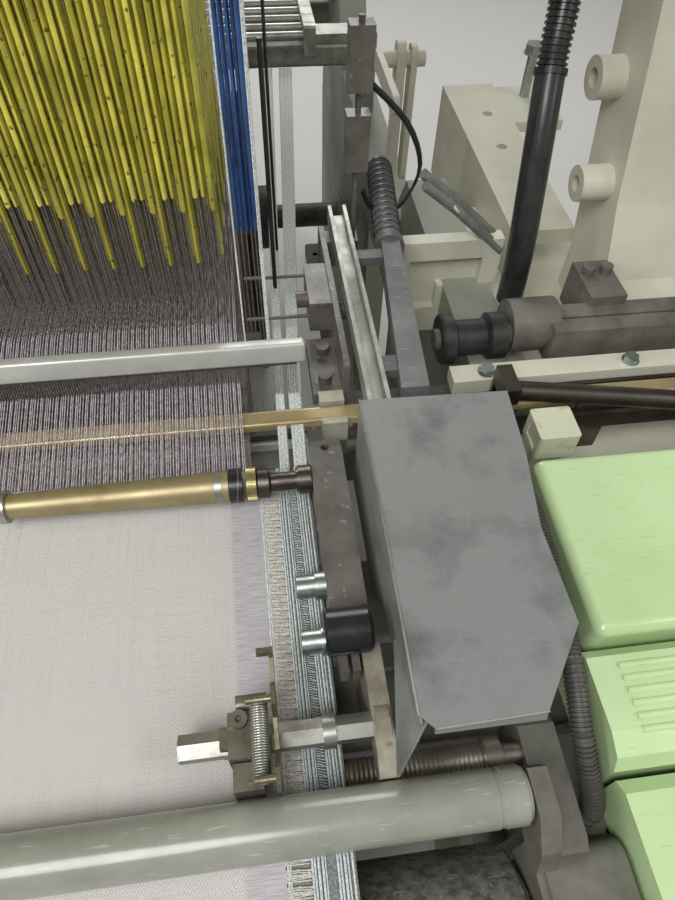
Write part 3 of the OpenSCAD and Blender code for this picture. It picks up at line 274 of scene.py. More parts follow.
zinc = surface("zinc", (186, 194, 190), (150, 158, 156), (0.26, 0.4), metal=1, blotch=60)
yellow_zinc = surface("yellow_zinc", (150, 143, 118), (104, 96, 74), (0.3, 0.5), metal=0.9, blotch=60)
block_cast = surface("block_cast", (126, 122, 106), (84, 80, 68), (0.34, 0.55), metal=0.5, blotch=60, bump=0.5,
    scratch=0.4)
aluminium = surface("aluminium", (204, 206, 198), (184, 186, 178), (0.32, 0.46), metal=0.4, blotch=20)
brass = surface("brass", (168, 156, 118), (140, 127, 92), (0.34, 0.5), metal=0.6, blotch=16, scratch=0.15)
tube_paint = surface("tube_paint", (148, 149, 138), (126, 127, 115), (0.16, 0.32), coat=0.4, blotch=18, grain=240,
    bump=0.1, scratch=0.35, mark=(190, 192, 184))
grip_cover = surface("grip_cover", (122, 122, 112), (78, 78, 72), (0.6, 0.85), blotch=120, grain=700, bump=1.0,
    reach=(0.42, 0.62), scratch=0.6, speck=0.5, mark=(176, 176, 166))
black_plastic = surface("black_plastic", (24, 25, 27), (38, 40, 42), (0.2, 0.3), blotch=30, grain=800, bump=0.05)
bush_rubber = surface("bush_rubber", (30, 30, 31), (52, 51, 49), (0.34, 0.5), blotch=40)
hose_plastic = surface("hose_plastic", (30, 31, 32), (52, 52, 49), (0.3, 0.46), blotch=30, bump=0.05)
conduit_plastic = surface("conduit_plastic", (78, 76, 70), (54, 52, 48), (0.4, 0.6), blotch=40)
guide_plastic = surface("guide_plastic", (178, 178, 160), (136, 134, 114), (0.4, 0.6), blotch=50)
sensor_shell = surface("sensor_shell", (196, 198, 172), (170, 160, 128), (0.25, 0.45), blotch=60, reach=(0.55, 0.7))
rod_carbon = surface("rod_carbon", (180, 164, 124), (154, 136, 98), (0.2, 0.36), metal=0.4, coat=0.3, blotch=20)
comber_board = surface("comber_board", (120, 96, 68), (88, 70, 50), (0.5, 0.7))
rust_steel = surface("rust_steel", (158, 154, 142), (120, 106, 88), (0.32, 0.5), metal=0.8, blotch=50)
dress(dark_cast, "temple_arms", "leno_device")
dress(rough_cast, "cast_posts")
dress(grey_cast, "press_brackets", "breast_beam", "sley", "clamp_bar")
dress(block_cast, "clamp_block")
dress(guard_slate, "guards")
dress(duct_slate, "suction_duct")
dress(bright_steel, "stop_motion", "hex_shafts", "back_rest_roller")
dress(bar_steel, "channel_bar")
dress(oiled_steel, "rapier_housings", "pinion_right", "pinion_left", "cloth_roll")
dress(zinc, "zinc_studs", "fasteners")
dress(yellow_zinc, "clamp_plate")
dress(brass, "temple_right", "temple_left")
dress(tube_paint, "press_tube")
dress(grip_cover, "grip_roller")
dress(black_plastic, "arm_caps")
dress(bush_rubber, "rubber_bush")
dress(guide_plastic, "rapier_guides")
dress(sensor_shell, "sensor_box")
dress(rod_carbon, "rapier_right", "rapier_left")
dress(comber_board, "comberboard")
dress(rust_steel, "spreader_bar")
dress(grey_cast, "warp_beam")

# Cloth
# A fine grey-mauve twill, 1.1 m wide, that leaves the fell flat, passes under the press tube, over the
# grip roller and down to the cloth roll. Its last 26 mm beside the selvedge are darker and plainer.
cloth_half = 550
cloth_t = 1.2
grip_low, grip_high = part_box("grip_roller")
grip_mid = Vector((0, (grip_low.y + grip_high.y) / 2, (grip_low.z + grip_high.z) / 2))
grip_r = (grip_high.z - grip_low.z) / 2
roll_low, roll_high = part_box("cloth_roll")
roll_mid = Vector((0, (roll_low.y + roll_high.y) / 2, (roll_low.z + roll_high.z) / 2))
roll_r = (roll_high.z - roll_low.z) / 2


def leaving(middle, radius, other, other_radius, side):
    """Angle at a circle where a straight run leaves it for another circle, or for a point of radius 0."""
    y, z = other.y - middle.y, other.z - middle.z
    return math.atan2(z, y) + side * math.acos((radius - other_radius) / math.hypot(y, z))


def round_part(middle, radius, start, end, steps):
    angles = [start + (end - start) * i / steps for i in range(steps + 1)]
    return [Vector((0, middle.y + radius * math.cos(a), middle.z + radius * math.sin(a))) for a in angles]


run_r = grip_r + 1.1 * mm
wound_r = roll_r + 1.1 * mm
before_grip = at(0, -298, 0)
first = leaving(grip_mid, run_r, before_grip, 0, 1)
last = leaving(grip_mid, run_r, roll_mid, wound_r, -1) + 2 * math.pi
flat_part = [at(0, 5 - 303 * i / 24, 0) for i in range(25)]
cloth_route = (flat_part + round_part(grip_mid, run_r, first, last, 20)
    + round_part(roll_mid, wound_r, last, last + math.radians(40), 8))


def strip(name, route, low_x, high_x, across, thickness):
    """A sheet that follows a route in the Y-Z plane, with its own UV map in metres."""
    bpy.ops.mesh.primitive_grid_add(x_subdivisions=across, y_subdivisions=len(route) - 1, size=1)
    sheet = bpy.context.object
    sheet.name = name
    far = [0]
    for here, there in zip(route, route[1:]):
        far.append(far[-1] + (there - here).length)
    rows = {}
    for vertex in sheet.data.vertices:
        row = round((vertex.co.y + 0.5) * (len(route) - 1))
        x = low_x + (high_x - low_x) * (vertex.co.x + 0.5)
        rows[vertex.index] = (x * mm, far[row])
        vertex.co = Vector((x * mm, route[row].y, route[row].z))
    for loop in sheet.data.loops:
        sheet.data.uv_layers[0].data[loop.index].uv = rows[loop.vertex_index]
    wall = sheet.modifiers.new("thickness", "SOLIDIFY")
    wall.thickness = thickness * mm
    wall.offset = 0
    bpy.ops.object.modifier_apply(modifier=wall.name)
    bpy.ops.object.shade_smooth_by_angle(angle=math.radians(40))
    bpy.ops.object.select_all(action="DESELECT")
    return sheet, far[-1]


def weave_group():
    """Height of a fine twill, and its slubs, from a UV map in metres."""
    group = bpy.data.node_groups.new("twill", "ShaderNodeTree")
    face = group.interface
    face.new_socket("Vector", in_out="INPUT", socket_type="NodeSocketVector")
    face.new_socket("Pitch", in_out="INPUT", socket_type="NodeSocketFloat")
    face.new_socket("Height", in_out="OUTPUT", socket_type="NodeSocketFloat")
    face.new_socket("Slubs", in_out="OUTPUT", socket_type="NodeSocketFloat")
    into, out = group.nodes.new("NodeGroupInput"), group.nodes.new("NodeGroupOutput")
    parts = group.nodes.new("ShaderNodeSeparateXYZ")
    group.links.new(into.outputs["Vector"], parts.inputs[0])

    def maths(kind, a, b=None):
        node = group.nodes.new("ShaderNodeMath")
        node.operation = kind
        for place, value in enumerate((a, b)):
            if value is None:
                continue
            if isinstance(value, (int, float)):
                node.inputs[place].default_value = value
            else:
                group.links.new(value, node.inputs[place])
        return node.outputs[0]

    end = maths("DIVIDE", parts.outputs["X"], into.outputs["Pitch"])
    pick_no = maths("DIVIDE", parts.outputs["Y"], into.outputs["Pitch"])
    slope = maths("ADD", end, maths("MULTIPLY", pick_no, 0.8))
    twill = maths("SINE", maths("MULTIPLY", slope, math.pi))
    warp = maths("SINE", maths("MULTIPLY", end, 2 * math.pi))
    weft = maths("SINE", maths("MULTIPLY", pick_no, 2 * math.pi))
    threads = maths("MULTIPLY", warp, weft)
    both = maths("ADD", maths("MULTIPLY", twill, 0.42), maths("MULTIPLY", threads, 0.58))
    group.links.new(maths("ADD", maths("MULTIPLY", both, 0.5), 0.5), out.inputs["Height"])
    streaks = []
    for across, along in ((14, 900), (900, 9)):
        lay = group.nodes.new("ShaderNodeMapping")
        lay.inputs["Scale"].default_value = (across, along, 1)
        group.links.new(into.outputs["Vector"], lay.inputs["Vector"])
        streak = group.nodes.new("ShaderNodeTexNoise")
        streak.inputs["Scale"].default_value = 1
        streak.inputs["Detail"].default_value = 2
        group.links.new(lay.outputs["Vector"], streak.inputs["Vector"])
        streaks.append(streak.outputs["Fac"])
    group.links.new(maths("ADD", *streaks), out.inputs["Slubs"])
    return group


twill = weave_group()


def woven(name, thread, gap_shade_and_slub, pitch):
    """Twill with painted shade in the hollows of its weave, darker slubs, and the darker plain band beside the
    selvedge.
    """
    material = bpy.data.materials.new(name)
    material.use_nodes = True
    tree = material.node_tree
    shader = tree.nodes["Principled BSDF"]
    shader.inputs["Roughness"].default_value = 0.9
    chart = tree.nodes.new("ShaderNodeUVMap")
    weave = tree.nodes.new("ShaderNodeGroup")
    weave.node_tree = twill
    weave.inputs["Pitch"].default_value = pitch * mm
    tree.links.new(chart.outputs["UV"], weave.inputs["Vector"])

    def mixed(factor, first, second):
        node = tree.nodes.new("ShaderNodeMix")
        node.data_type = "RGBA"
        tree.links.new(factor, node.inputs["Factor"])
        for place, value in (("A", first), ("B", second)):
            if isinstance(value, tuple):
                node.inputs[place].default_value = linear(*value)
            else:
                tree.links.new(value, node.inputs[place])
        return node.outputs["Result"]

    def ranged(value, low, high, top=1.0):
        node = tree.nodes.new("ShaderNodeMapRange")
        node.inputs["From Min"].default_value = low
        node.inputs["From Max"].default_value = high
        node.inputs["To Max"].default_value = top
        tree.links.new(value, node.inputs["Value"])
        return node.outputs["Result"]

    fuzz = tree.nodes.new("ShaderNodeTexNoise")
    fuzz.inputs["Scale"].default_value = 900
    fuzz.inputs["Detail"].default_value = 3
    tree.links.new(chart.outputs["UV"], fuzz.inputs["Vector"])
    uneven = tree.nodes.new("ShaderNodeMath")
    uneven.operation = "MULTIPLY_ADD"
    uneven.inputs[1].default_value = 0.75
    tree.links.new(weave.outputs["Height"], uneven.inputs[0])
    tree.links.new(ranged(fuzz.outputs["Fac"], 0.3, 0.7, 0.4), uneven.inputs[2])
    # Where the weave is low the colour goes darker: painted shade between the threads.
    body = mixed(uneven.outputs[0], gap_shade_and_slub, thread)
    # Slubs darken the cloth in random streaks along and across.
    body = mixed(ranged(weave.outputs["Slubs"], 1.05, 1.3, 0.3), body, gap_shade_and_slub)
    place = tree.nodes.new("ShaderNodeSeparateXYZ")
    tree.links.new(chart.outputs["UV"], place.inputs[0])
    outward = tree.nodes.new("ShaderNodeMath")
    outward.operation = "ABSOLUTE"
    tree.links.new(place.outputs["X"], outward.inputs[0])
    edge = ranged(outward.outputs[0], 522 * mm, 525 * mm, 0.7)
    picks = tree.nodes.new("ShaderNodeMapping")
    picks.inputs["Scale"].default_value = (60, 1300, 1)
    tree.links.new(chart.outputs["UV"], picks.inputs["Vector"])
    dashes = tree.nodes.new("ShaderNodeTexNoise")
    dashes.inputs["Scale"].default_value = 1
    tree.links.new(picks.outputs["Vector"], dashes.inputs["Vector"])
    band = mixed(ranged(dashes.outputs["Fac"], 0.4, 0.6), (150, 144, 150), (184, 179, 184))
    last = mixed(edge, body, band)
    tree.links.new(last, shader.inputs["Base Color"])
    relief = tree.nodes.new("ShaderNodeBump")
    relief.inputs["Strength"].default_value = 0.6
    relief.inputs["Distance"].default_value = 0.3 * mm
    tree.links.new(uneven.outputs[0], relief.inputs["Height"])
    tree.links.new(relief.outputs["Normal"], shader.inputs["Normal"])
    return material


woven_cloth = woven("woven_cloth", (218, 215, 211), (136, 131, 129), 1.25)
cloth, cloth_length = strip("woven_twill", cloth_route, -cloth_half, cloth_half, 22, cloth_t)
cloth.data.materials.append(woven_cloth)
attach(cloth, "frame")
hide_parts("cloth")

# Selvedge and fringe
# The cut ends of the weft stand out between the cloth and a pair of white catch threads, and a twisted
# catch rope runs beside them. All are waste that the loom trims off later.


def yarn_finish(name, light, dark, scale=700, rough=0.85):
    return surface(name, light, dark, (rough, rough), blotch=scale, grain=1500, bump=0.3, reach=(0.4, 0.6))


def lying(route, x, lift=0):
    return [Vector((x * mm, p.y, p.z + lift * mm)) for p in route]


def thread(name, route, radius, sides=5):
    """A thread of a few sides along a list of points: a ring that is extruded from point to point."""
    lead = (route[1] - route[0]).normalized()
    bpy.ops.mesh.primitive_circle_add(vertices=sides, radius=radius * mm, fill_type="NGON", location=route[0],
        rotation=lead.to_track_quat("Z", "Y").to_euler())
    piece = bpy.context.object
    piece.name = name
    bpy.ops.object.mode_set(mode="EDIT")
    bpy.ops.mesh.select_all(action="SELECT")
    for here, there in zip(route, route[1:]):
        bpy.ops.mesh.extrude_region_move(TRANSFORM_OT_translate={"value": there - here})
    bpy.ops.mesh.select_all(action="SELECT")
    bpy.ops.mesh.normals_make_consistent(inside=False)
    bpy.ops.object.mode_set(mode="OBJECT")
    bpy.ops.object.transform_apply(location=True, rotation=True, scale=True)
    return piece


def repeat(piece, count, x=0, y=0, z=0):
    """Copies of a piece in a straight row, each so many millimetres from the one before."""
    row = piece.modifiers.new("row", "ARRAY")
    row.count = count
    row.use_relative_offset = False
    row.use_constant_offset = True
    row.constant_offset_displace = (x * mm, y * mm, z * mm)
    bpy.context.view_layer.objects.active = piece
    bpy.ops.object.modifier_apply(modifier=row.name)
    return piece


def settle(piece, material, body, slot, *nodes):
    """Gives a piece its finish, its body and the CAD nodes that it stands for."""
    bpy.ops.object.select_all(action="DESELECT")
    piece.data.materials.clear()
    piece.data.materials.append(material)
    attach(piece, body)
    if nodes:
        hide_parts(*nodes)
    return piece


def joined(name, pieces):
    bpy.ops.object.select_all(action="DESELECT")
    for piece in pieces:
        piece.select_set(True)
    bpy.context.view_layer.objects.active = pieces[0]
    bpy.ops.object.join()
    pieces[0].name = name
    bpy.ops.object.select_all(action="DESELECT")
    return pieces[0]


def both_sides(piece):
    """The same piece again, mirrored to the other side of the loom."""
    other = piece.modifiers.new("other_side", "MIRROR")
    other.use_axis = (True, False, False)
    other.use_clip = False
    other.use_mirror_merge = False
    bpy.context.view_layer.objects.active = piece
    bpy.ops.object.modifier_apply(modifier=other.name)
    return piece


weft_white = yarn_finish("weft_white", (214, 212, 204), (176, 170, 162))
catch_white = yarn_finish("catch_white", (218, 224, 222), (168, 178, 178))
fringe_gap_shade = yarn_finish("fringe_gap_shade", (142, 146, 142), (86, 90, 88), 900)
catch_dark = yarn_finish("catch_dark", (104, 112, 104), (44, 52, 48), 900)
over = [Vector(p) for p in cloth_route[:-8]]
chance = random.Random(7)
over_step = (over[25] - over[24]) / 12
bundle = 7.2
ends = []
for number in range(9):
    v = -3 - number * 0.8
    reach_out = 567.5 + chance.uniform(-1.6, 1.4)
    start = at(549.4, v, 0.1 * (number % 3))
    bend = at(558, v + chance.uniform(-0.9, 0.9), 0.5 + chance.uniform(-0.3, 0.3))
    tip = at(reach_out, v + chance.uniform(-1.2, 0.9), 0.2 + chance.uniform(-0.3, 0.4))
    end = thread("end", [start, bend, tip], chance.choice((0.36, 0.44, 0.5)), 4)
    slant = end.copy()
    slant.data = end.data.copy()
    bpy.context.collection.objects.link(slant)
    bpy.ops.object.select_all(action="DESELECT")
    slant.select_set(True)
    bpy.context.view_layer.objects.active = slant
    slant.location = over[24] - at(0, 0, 0)
    bpy.ops.object.transform_apply(location=True, rotation=True, scale=True)
    ends.append(repeat(slant, 10, y=over_step.y / mm, z=over_step.z / mm))
    ends.append(repeat(end, 41, y=-bundle))
fringe = both_sides(joined("weft_ends", ends))
settle(fringe, weft_white, "frame", "woven_cloth")
binders = []
for x, radius in ((551.6, 0.8), (553.2, 0.6), (567.6, 0.8), (569.4, 0.7), (571.8, 0.9), (574.6, 0.8), (576.4, 0.5),
    (584.6, 0.8), (586.6, 0.7), (589.2, 0.9), (591.4, 0.6), (594.4, 0.8)):
    binders.append(thread("binder", lying(over, x, 0.4), radius))
catch = both_sides(joined("catch_threads", binders))
settle(catch, catch_white, "frame", "woven_cloth")
# A grey sheet lies under the weft ends and catch threads: painted shade seen in the gaps between them.
beds = []
for low_x, high_x in ((549.6, 567.5), (568.5, 596.5)):
    beds.append(strip("bed", lying(over, 0, -0.9), low_x, high_x, 2, 0.5)[0])
bed = both_sides(joined("fringe_shade_bed", beds))
settle(bed, fringe_gap_shade, "frame", "woven_cloth")
twisted = []
for x in (578, 580.2, 582.4):
    wave = [Vector(((x + 1.0 * math.sin(i * 1.3 + x)) * mm, p.y, p.z + 0.3 * mm * math.cos(i * 1.3 + x)))
        for i, p in enumerate([at(0, 4 - 3 * k, 0.3) for k in range(101)])]
    twisted.append(thread("twist", wave, 0.9))
rope = both_sides(joined("catch_rope", twisted))
settle(rope, catch_dark, "frame", "woven_cloth")
ticks = []
for number in range(4):
    v = -6 - number * 1.7
    slant = chance.uniform(1.2, 2.4)
    ticks.append(repeat(thread("tick", [at(577.4, v, 1.2), at(583.2, v - slant, 1.2)], 0.34, 4), 43, y=-6.8))
binding = both_sides(joined("rope_binding", ticks))
settle(binding, catch_white, "frame", "woven_cloth")

# Warp
# Single grey-mauve threads in two sheets: the raised ones and the lowered ones make the open shed
# between the fell and the heddles, and meet again at the stop motion's bars.
shed_half = 34.5
shed_front, shed_back, shed_end = 170, 345, 975
warp_yarn = yarn_finish("warp_yarn", (206, 198, 200), (160, 150, 155), 260)
# The lowered sheet is the same yarn painted darker: painted shade under the raised sheet.
warp_yarn_painted_shade = yarn_finish("warp_yarn_painted_shade", (168, 160, 162), (122, 114, 117), 260)


def shed_route(side):
    corners = ((-2, 0), (shed_front, shed_half), (shed_back, shed_half), (shed_end, 0.8))
    return [at(0, v, side * w) for v, w in corners]


def warp_sheet(name, side, offsets, group, node, yarn):
    ends = []
    count = int(2 * (cloth_half - 4) / group)
    for shift, radius in offsets:
        route = [Vector((p.x + (-cloth_half + 4 + shift) * mm, p.y, p.z)) for p in shed_route(side)]
        ends.append(repeat(thread("end", route, radius, 4), count, x=group))
    sheet = joined(name, ends)
    settle(sheet, yarn, "frame", "warp_yarn", node)
    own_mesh(sheet)
    return sheet


warp_sheet("raised_threads", 1, ((0, 0.5), (2.7, 0.4), (5.6, 0.55), (7.3, 0.4), (10.4, 0.5), (12.2, 0.42)), 14.3,
    "warp_upper", warp_yarn)
warp_sheet("lowered_threads", -1, ((0.4, 0.5), (2.0, 0.55), (3.7, 0.5), (5.2, 0.6), (7.0, 0.5), (8.5, 0.55)), 10.2,
    "warp_lower", warp_yarn_painted_shade)
rest_low, rest_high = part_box("back_rest_roller")
rest_mid = Vector((0, (rest_low.y + rest_high.y) / 2, (rest_low.z + rest_high.z) / 2))
beam_low, beam_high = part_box("warp_beam")
beam_mid = Vector((0, (beam_low.y + beam_high.y) / 2, (beam_low.z + beam_high.z) / 2))
rest_run = 60.9 * mm
beam_run = 301.2 * mm
off_rest = leaving(rest_mid, rest_run, beam_mid, beam_run, 1)
back_route = ([at(0, shed_end, 0)] + round_part(rest_mid, rest_run, math.pi / 2, off_rest, 8)
    + round_part(beam_mid, beam_run, off_rest, off_rest - math.radians(40), 10))
back_ends = thread("back_ends", [Vector((p.x + (-cloth_half + 4) * mm, p.y, p.z)) for p in back_route], 0.45, 4)
repeat(back_ends, 496, x=2.2)
settle(back_ends, warp_yarn, "frame", "warp_yarn", "warp_back")


def wound(name, middle, radius, half, material, body, slot):
    """The yarn or cloth that is wound on a roller, as a plain drum with a UV map in metres."""
    ring = round_part(middle, radius, 0, 2 * math.pi, 72)
    drum, length = strip(name, ring, -half, half, 2, 0.4)
    settle(drum, material, body, slot)


wound("wound_warp", beam_mid, 300.3 * mm, 549, warp_yarn, "beam", "warp_yarn")
wound("wound_cloth", roll_mid, roll_r + 0.4 * mm, 550, woven_cloth, "take_up", "woven_cloth")

# Harness
# Every heddle hangs in a long plastic sleeve that keeps the wires apart: yellow over the cloth, blue over
# the selvedge. Three in four are up at this pick. Below the sleeves come the fine steel heddles.
sleeve_yellow = surface("sleeve_yellow", (220, 211, 88), (170, 161, 58), (0.22, 0.36), coat=0.4, blotch=34,
    reach=(0.36, 0.72), grain=420, speck=0.8, mark=(56, 54, 30))
sleeve_blue = surface("sleeve_blue", (60, 104, 168), (34, 66, 122), (0.22, 0.34), coat=0.4, blotch=40)
heddle_wire = surface("heddle_wire", (184, 178, 168), (124, 116, 108), (0.3, 0.5), metal=0.7, blotch=300)
cord_yarn = yarn_finish("cord_yarn", (196, 192, 176), (140, 136, 120), 300)
harness_v = 175
comber_w = 520
places = (0, 6.2, 13.6, 20.0)
group_pitch = 26.4
front_left, front_right = -544, 524


def sleeve(x, v, bottom, top, lean, thick):
    """One sleeve, leaning sideways by a few tenths of a degree, with a half-width copy inside that shows 1.6 mm below
    it.
    """
    long = top - bottom
    bpy.ops.mesh.primitive_cylinder_add(vertices=8, radius=thick / 2 * mm, depth=long * mm, end_fill_type="NGON",
        location=at(x + math.sin(math.radians(lean)) * long / 2, v, (top + bottom) / 2),
        rotation=(0, math.radians(lean), 0))
    tube = bpy.context.object
    bpy.ops.object.transform_apply(location=True, rotation=True, scale=True)
    for face in tube.data.polygons:
        face.select = face.normal.z < -0.9
    bpy.ops.object.mode_set(mode="EDIT")
    bpy.ops.mesh.select_mode(type="FACE")
    bpy.ops.mesh.extrude_region_move(TRANSFORM_OT_translate={"value": (0, 0, -1.6 * mm)})
    bpy.ops.transform.resize(value=(0.5, 0.5, 1))
    bpy.ops.object.mode_set(mode="OBJECT")
    bpy.ops.object.shade_smooth_by_angle(angle=math.radians(50))
    return tube


def sleeves(name, body, node, v_shift, ends_at, top, low_x, high_x):
    """Sleeves in groups of four places; ends_at gives each place's lower end, or None where it is empty."""
    made = []
    count = int((high_x - low_x) / group_pitch) + 1
    for place, bottom in enumerate(ends_at):
        if bottom is None:
            continue
        lean = chance.uniform(-0.35, 0.35)
        tube = sleeve(low_x + places[place], harness_v + v_shift, bottom, top, lean, chance.uniform(4.3, 4.9))
        made.append(repeat(repeat(tube, count, x=group_pitch), 4, x=1.9, y=44))
    return settle(joined(name, made), sleeve_yellow, body, "sleeve_yellow", *([node] if node else []))


sleeves("raised_sleeves_a", "heddles_up", "heddles_raised", 0, (None, 182, 183, 169), comber_w + 60,
    front_left, front_right)
sleeves("raised_sleeves_b", "heddles_up", None, 10, (181, 184, 170, None), comber_w + 60,
    front_left + 2, front_right)
sleeves("lowered_sleeves_a", "heddles_down", "heddles_lowered", 0, (113, None, None, None), comber_w + 20,
    front_left, front_right)
sleeves("lowered_sleeves_b", "heddles_down", None, 10, (None, None, None, 115), comber_w + 20,
    front_left + 2, front_right)
selvedge_tubes = [sleeve(x, harness_v + 4 + v, bottom, comber_w + 60, 0.15, 3.9) for x, v, bottom in
    ((551.5, 0, 146), (555.8, 3, 139), (560.3, 0, 141), (564.6, 4, 142), (568.4, 0, 144))]
settle(both_sides(joined("selvedge_sleeves", selvedge_tubes)), sleeve_blue, "heddles_up", "sleeve_yellow")


def wires(v_shift, place_x, top, low):
    wire = thread("wire", [at(place_x, harness_v + v_shift, top), at(place_x, harness_v + v_shift, low)], 0.5, 4)
    count = int((front_right + 24 - front_left) / group_pitch)
    return repeat(repeat(wire, count, x=group_pitch), 4, x=1.9, y=44)


up_wires, down_wires = [], []
for place in range(4):
    for v_shift, low_places, shift in ((0, (0,), 0), (10, (3,), 2)):
        x = front_left + shift + places[place]
        if place in low_places:
            down_wires.append(wires(v_shift, x, 116, -shed_half - 30))
        else:
            up_wires.append(wires(v_shift, x, 184, shed_half - 40))
            up_wires.append(wires(v_shift, x + 2.4, 205, shed_half - 40))
for x in (550.5, 554.6, 559.2, 563.9, 567.6, 571):
    up_wires.append(both_sides(thread("wire", [at(x, harness_v + 4, 146), at(x, harness_v + 4, 2)], 0.5, 4)))
settle(joined("raised_wires", up_wires), heddle_wire, "heddles_up", "oiled_steel")
settle(joined("lowered_wires", down_wires), heddle_wire, "heddles_down", "oiled_steel")
leashes = repeat(thread("leash", [at(-544, 180, 512), at(-544, 180, 1330)], 0.7, 4), 110, x=9.98)
bpy.ops.object.select_all(action="DESELECT")
leashes.select_set(True)
bpy.context.view_layer.objects.active = leashes
for vertex in leashes.data.vertices:
    vertex.select = vertex.co.z > at(0, 0, 1300).z
bpy.ops.object.mode_set(mode="EDIT")
bpy.ops.mesh.select_mode(type="VERT")
bpy.ops.transform.resize(value=(500 / 546, 1, 1), center_override=(0, 0, 0))
bpy.ops.object.mode_set(mode="OBJECT")
repeat(leashes, 4, y=44)
settle(leashes, cord_yarn, "frame", "harness_cord", "harness_cords")
leashes.name = "harness_leashes"
pulls = thread("return_springs", [at(-542, 180, -844), at(-542, 180, -420)], 2.0, 6)
pulls = joined("return_springs", [pulls, thread("pull", [at(-542, 180, -420), at(-542, 180, -60)], 0.6, 4)])
repeat(repeat(pulls, 84, x=13.05), 4, y=44)
settle(pulls, heddle_wire, "frame", "oiled_steel", "harness_springs")

# Catch threads to the leno device
# Two white ribbons of catch threads come from behind, beside the blue sleeves, and run through the end of
# the reed to the fringe. A dark guide rod and thin cords hang beside them.
ribbon_white = yarn_finish("ribbon_white", (222, 226, 222), (176, 182, 180), 500)
rod_black = surface("rod_black", (22, 22, 24), (40, 40, 40), (0.3, 0.5), blotch=60)


def ribbon(low_x, high_x, count):
    """Parallel threads that spread from behind the stop motion, through the reed's end, to the fell."""
    made = []
    for number in range(count):
        x = low_x + (high_x - low_x) * number / (count - 1)
        route = [at(614 + (x - 576) * 2.2, 985, -60), at(x, 118, 3), at(x - 3, 0, 0.6)]
        made.append(thread("strand", route, 1.0 + 0.2 * math.sin(number * 2.3), 4))
    return made


ribbons = ribbon(575, 582, 7) + ribbon(588.5, 599, 10)
for top_x, low_x in ((551, 547.6), (571.5, 571), (573, 572.6)):
    ribbons.append(thread("strand", [at(top_x, 170, 470), at(low_x, 176, 120), at(low_x, 150, 30)], 0.9, 4))
settle(joined("catch_ribbons", ribbons), ribbon_white, "frame", "woven_cloth")
bars = []
for x, v, low, high, thick in ((583.5, 196, 60, 300, 2.2), (588, 205, 100, 330, 1.4)):
    bpy.ops.mesh.primitive_cylinder_add(vertices=10, radius=thick * mm, depth=(high - low) * mm,
        location=at(x, v, (low + high) / 2))
    bpy.ops.object.transform_apply(location=True)
    bars.append(bpy.context.object)
settle(joined("guide_rods", bars), rod_black, "frame", "dark_cast")

# Reed
# Fine steel dents between two aluminium baulks, bound with dark cord under the upper one. The whole reed
# leans forward with the sley.
lay_angle = 11
sley_w = -500
reed_x = 600
dent_steel = surface("dent_steel", (150, 148, 146), (108, 104, 104), (0.3, 0.5), metal=0.8, blotch=200)
binding_cord = yarn_finish("binding_cord", (92, 84, 88), (50, 46, 50), 600)


def in_sley(x, y, z):
    lean = math.radians(lay_angle)
    return at(x, y * math.cos(lean) + z * math.sin(lean), sley_w - y * math.sin(lean) + z * math.cos(lean))


def reed_box(long, deep, high, x, y, z, round_by=0):
    bpy.ops.mesh.primitive_cube_add(size=1, location=in_sley(x, y, z), rotation=(math.radians(-lay_angle), 0, 0),
        scale=(long * mm, deep * mm, high * mm))
    box = bpy.context.object
    bpy.ops.object.transform_apply(location=True, rotation=True, scale=True)
    if round_by:
        edge = box.modifiers.new("edge", "BEVEL")
        edge.width = round_by * mm
        edge.segments = 3
        bpy.ops.object.modifier_apply(modifier=edge.name)
        bpy.ops.object.shade_smooth_by_angle(angle=math.radians(35))
    return box


baulks = [reed_box(1212, 14, 22, 0, 0, 564, 3), reed_box(1212, 14, 22, 0, 0, 441, 3)]
baulks += [reed_box(3, 6, 103, side * 598.5, 0, 502.5) for side in (-1, 1)]
settle(joined("reed_baulks", baulks), aluminium, "sley", "reed_aluminium", "reed")
dents = repeat(reed_box(0.35, 3, 103, -597, 0, 502.5), 478, x=2.5)
dents.name = "reed_dents"
settle(dents, dent_steel, "sley", "bright_steel")
cords = [reed_box(1196, 5, 4, 0, 0, 551), reed_box(1196, 5, 4, 0, 0, 454)]
settle(joined("dent_binding", cords), binding_cord, "sley", "harness_cord")

# Temple and selvedge clamp
# The brass ring temple grips the cloth just before the fell. Its rings, its black and knurled collars and
# its steel swivel are shown one by one, and so are the coils of the clamp's tension spring.
ring_brass = surface("ring_brass", (184, 174, 130), (146, 132, 86), (0.24, 0.36), metal=0.8, blotch=30)


def turned(low, high, first_r, last_r=None, v=-28, w=26, sides=40):
    """A turned section along X between two places, straight or tapered."""
    bpy.ops.mesh.primitive_cone_add(vertices=sides, radius1=first_r * mm, radius2=(last_r or first_r) * mm,
        depth=(high - low) * mm, location=at((low + high) / 2, v, w), rotation=(0, math.pi / 2, 0))
    section = bpy.context.object
    bpy.ops.object.transform_apply(location=True, rotation=True, scale=True)
    bpy.ops.object.shade_smooth_by_angle(angle=math.radians(35))
    return section


def coil_ring(x, v, w, radius, wire, lean=0):
    bpy.ops.mesh.primitive_torus_add(major_segments=36, minor_segments=8, major_radius=radius * mm,
        minor_radius=wire * mm, location=at(x, v, w), rotation=(0, math.pi / 2 + math.radians(lean), 0))
    ring = bpy.context.object
    bpy.ops.object.transform_apply(location=True, rotation=True, scale=True)
    bpy.ops.object.shade_smooth()
    return ring


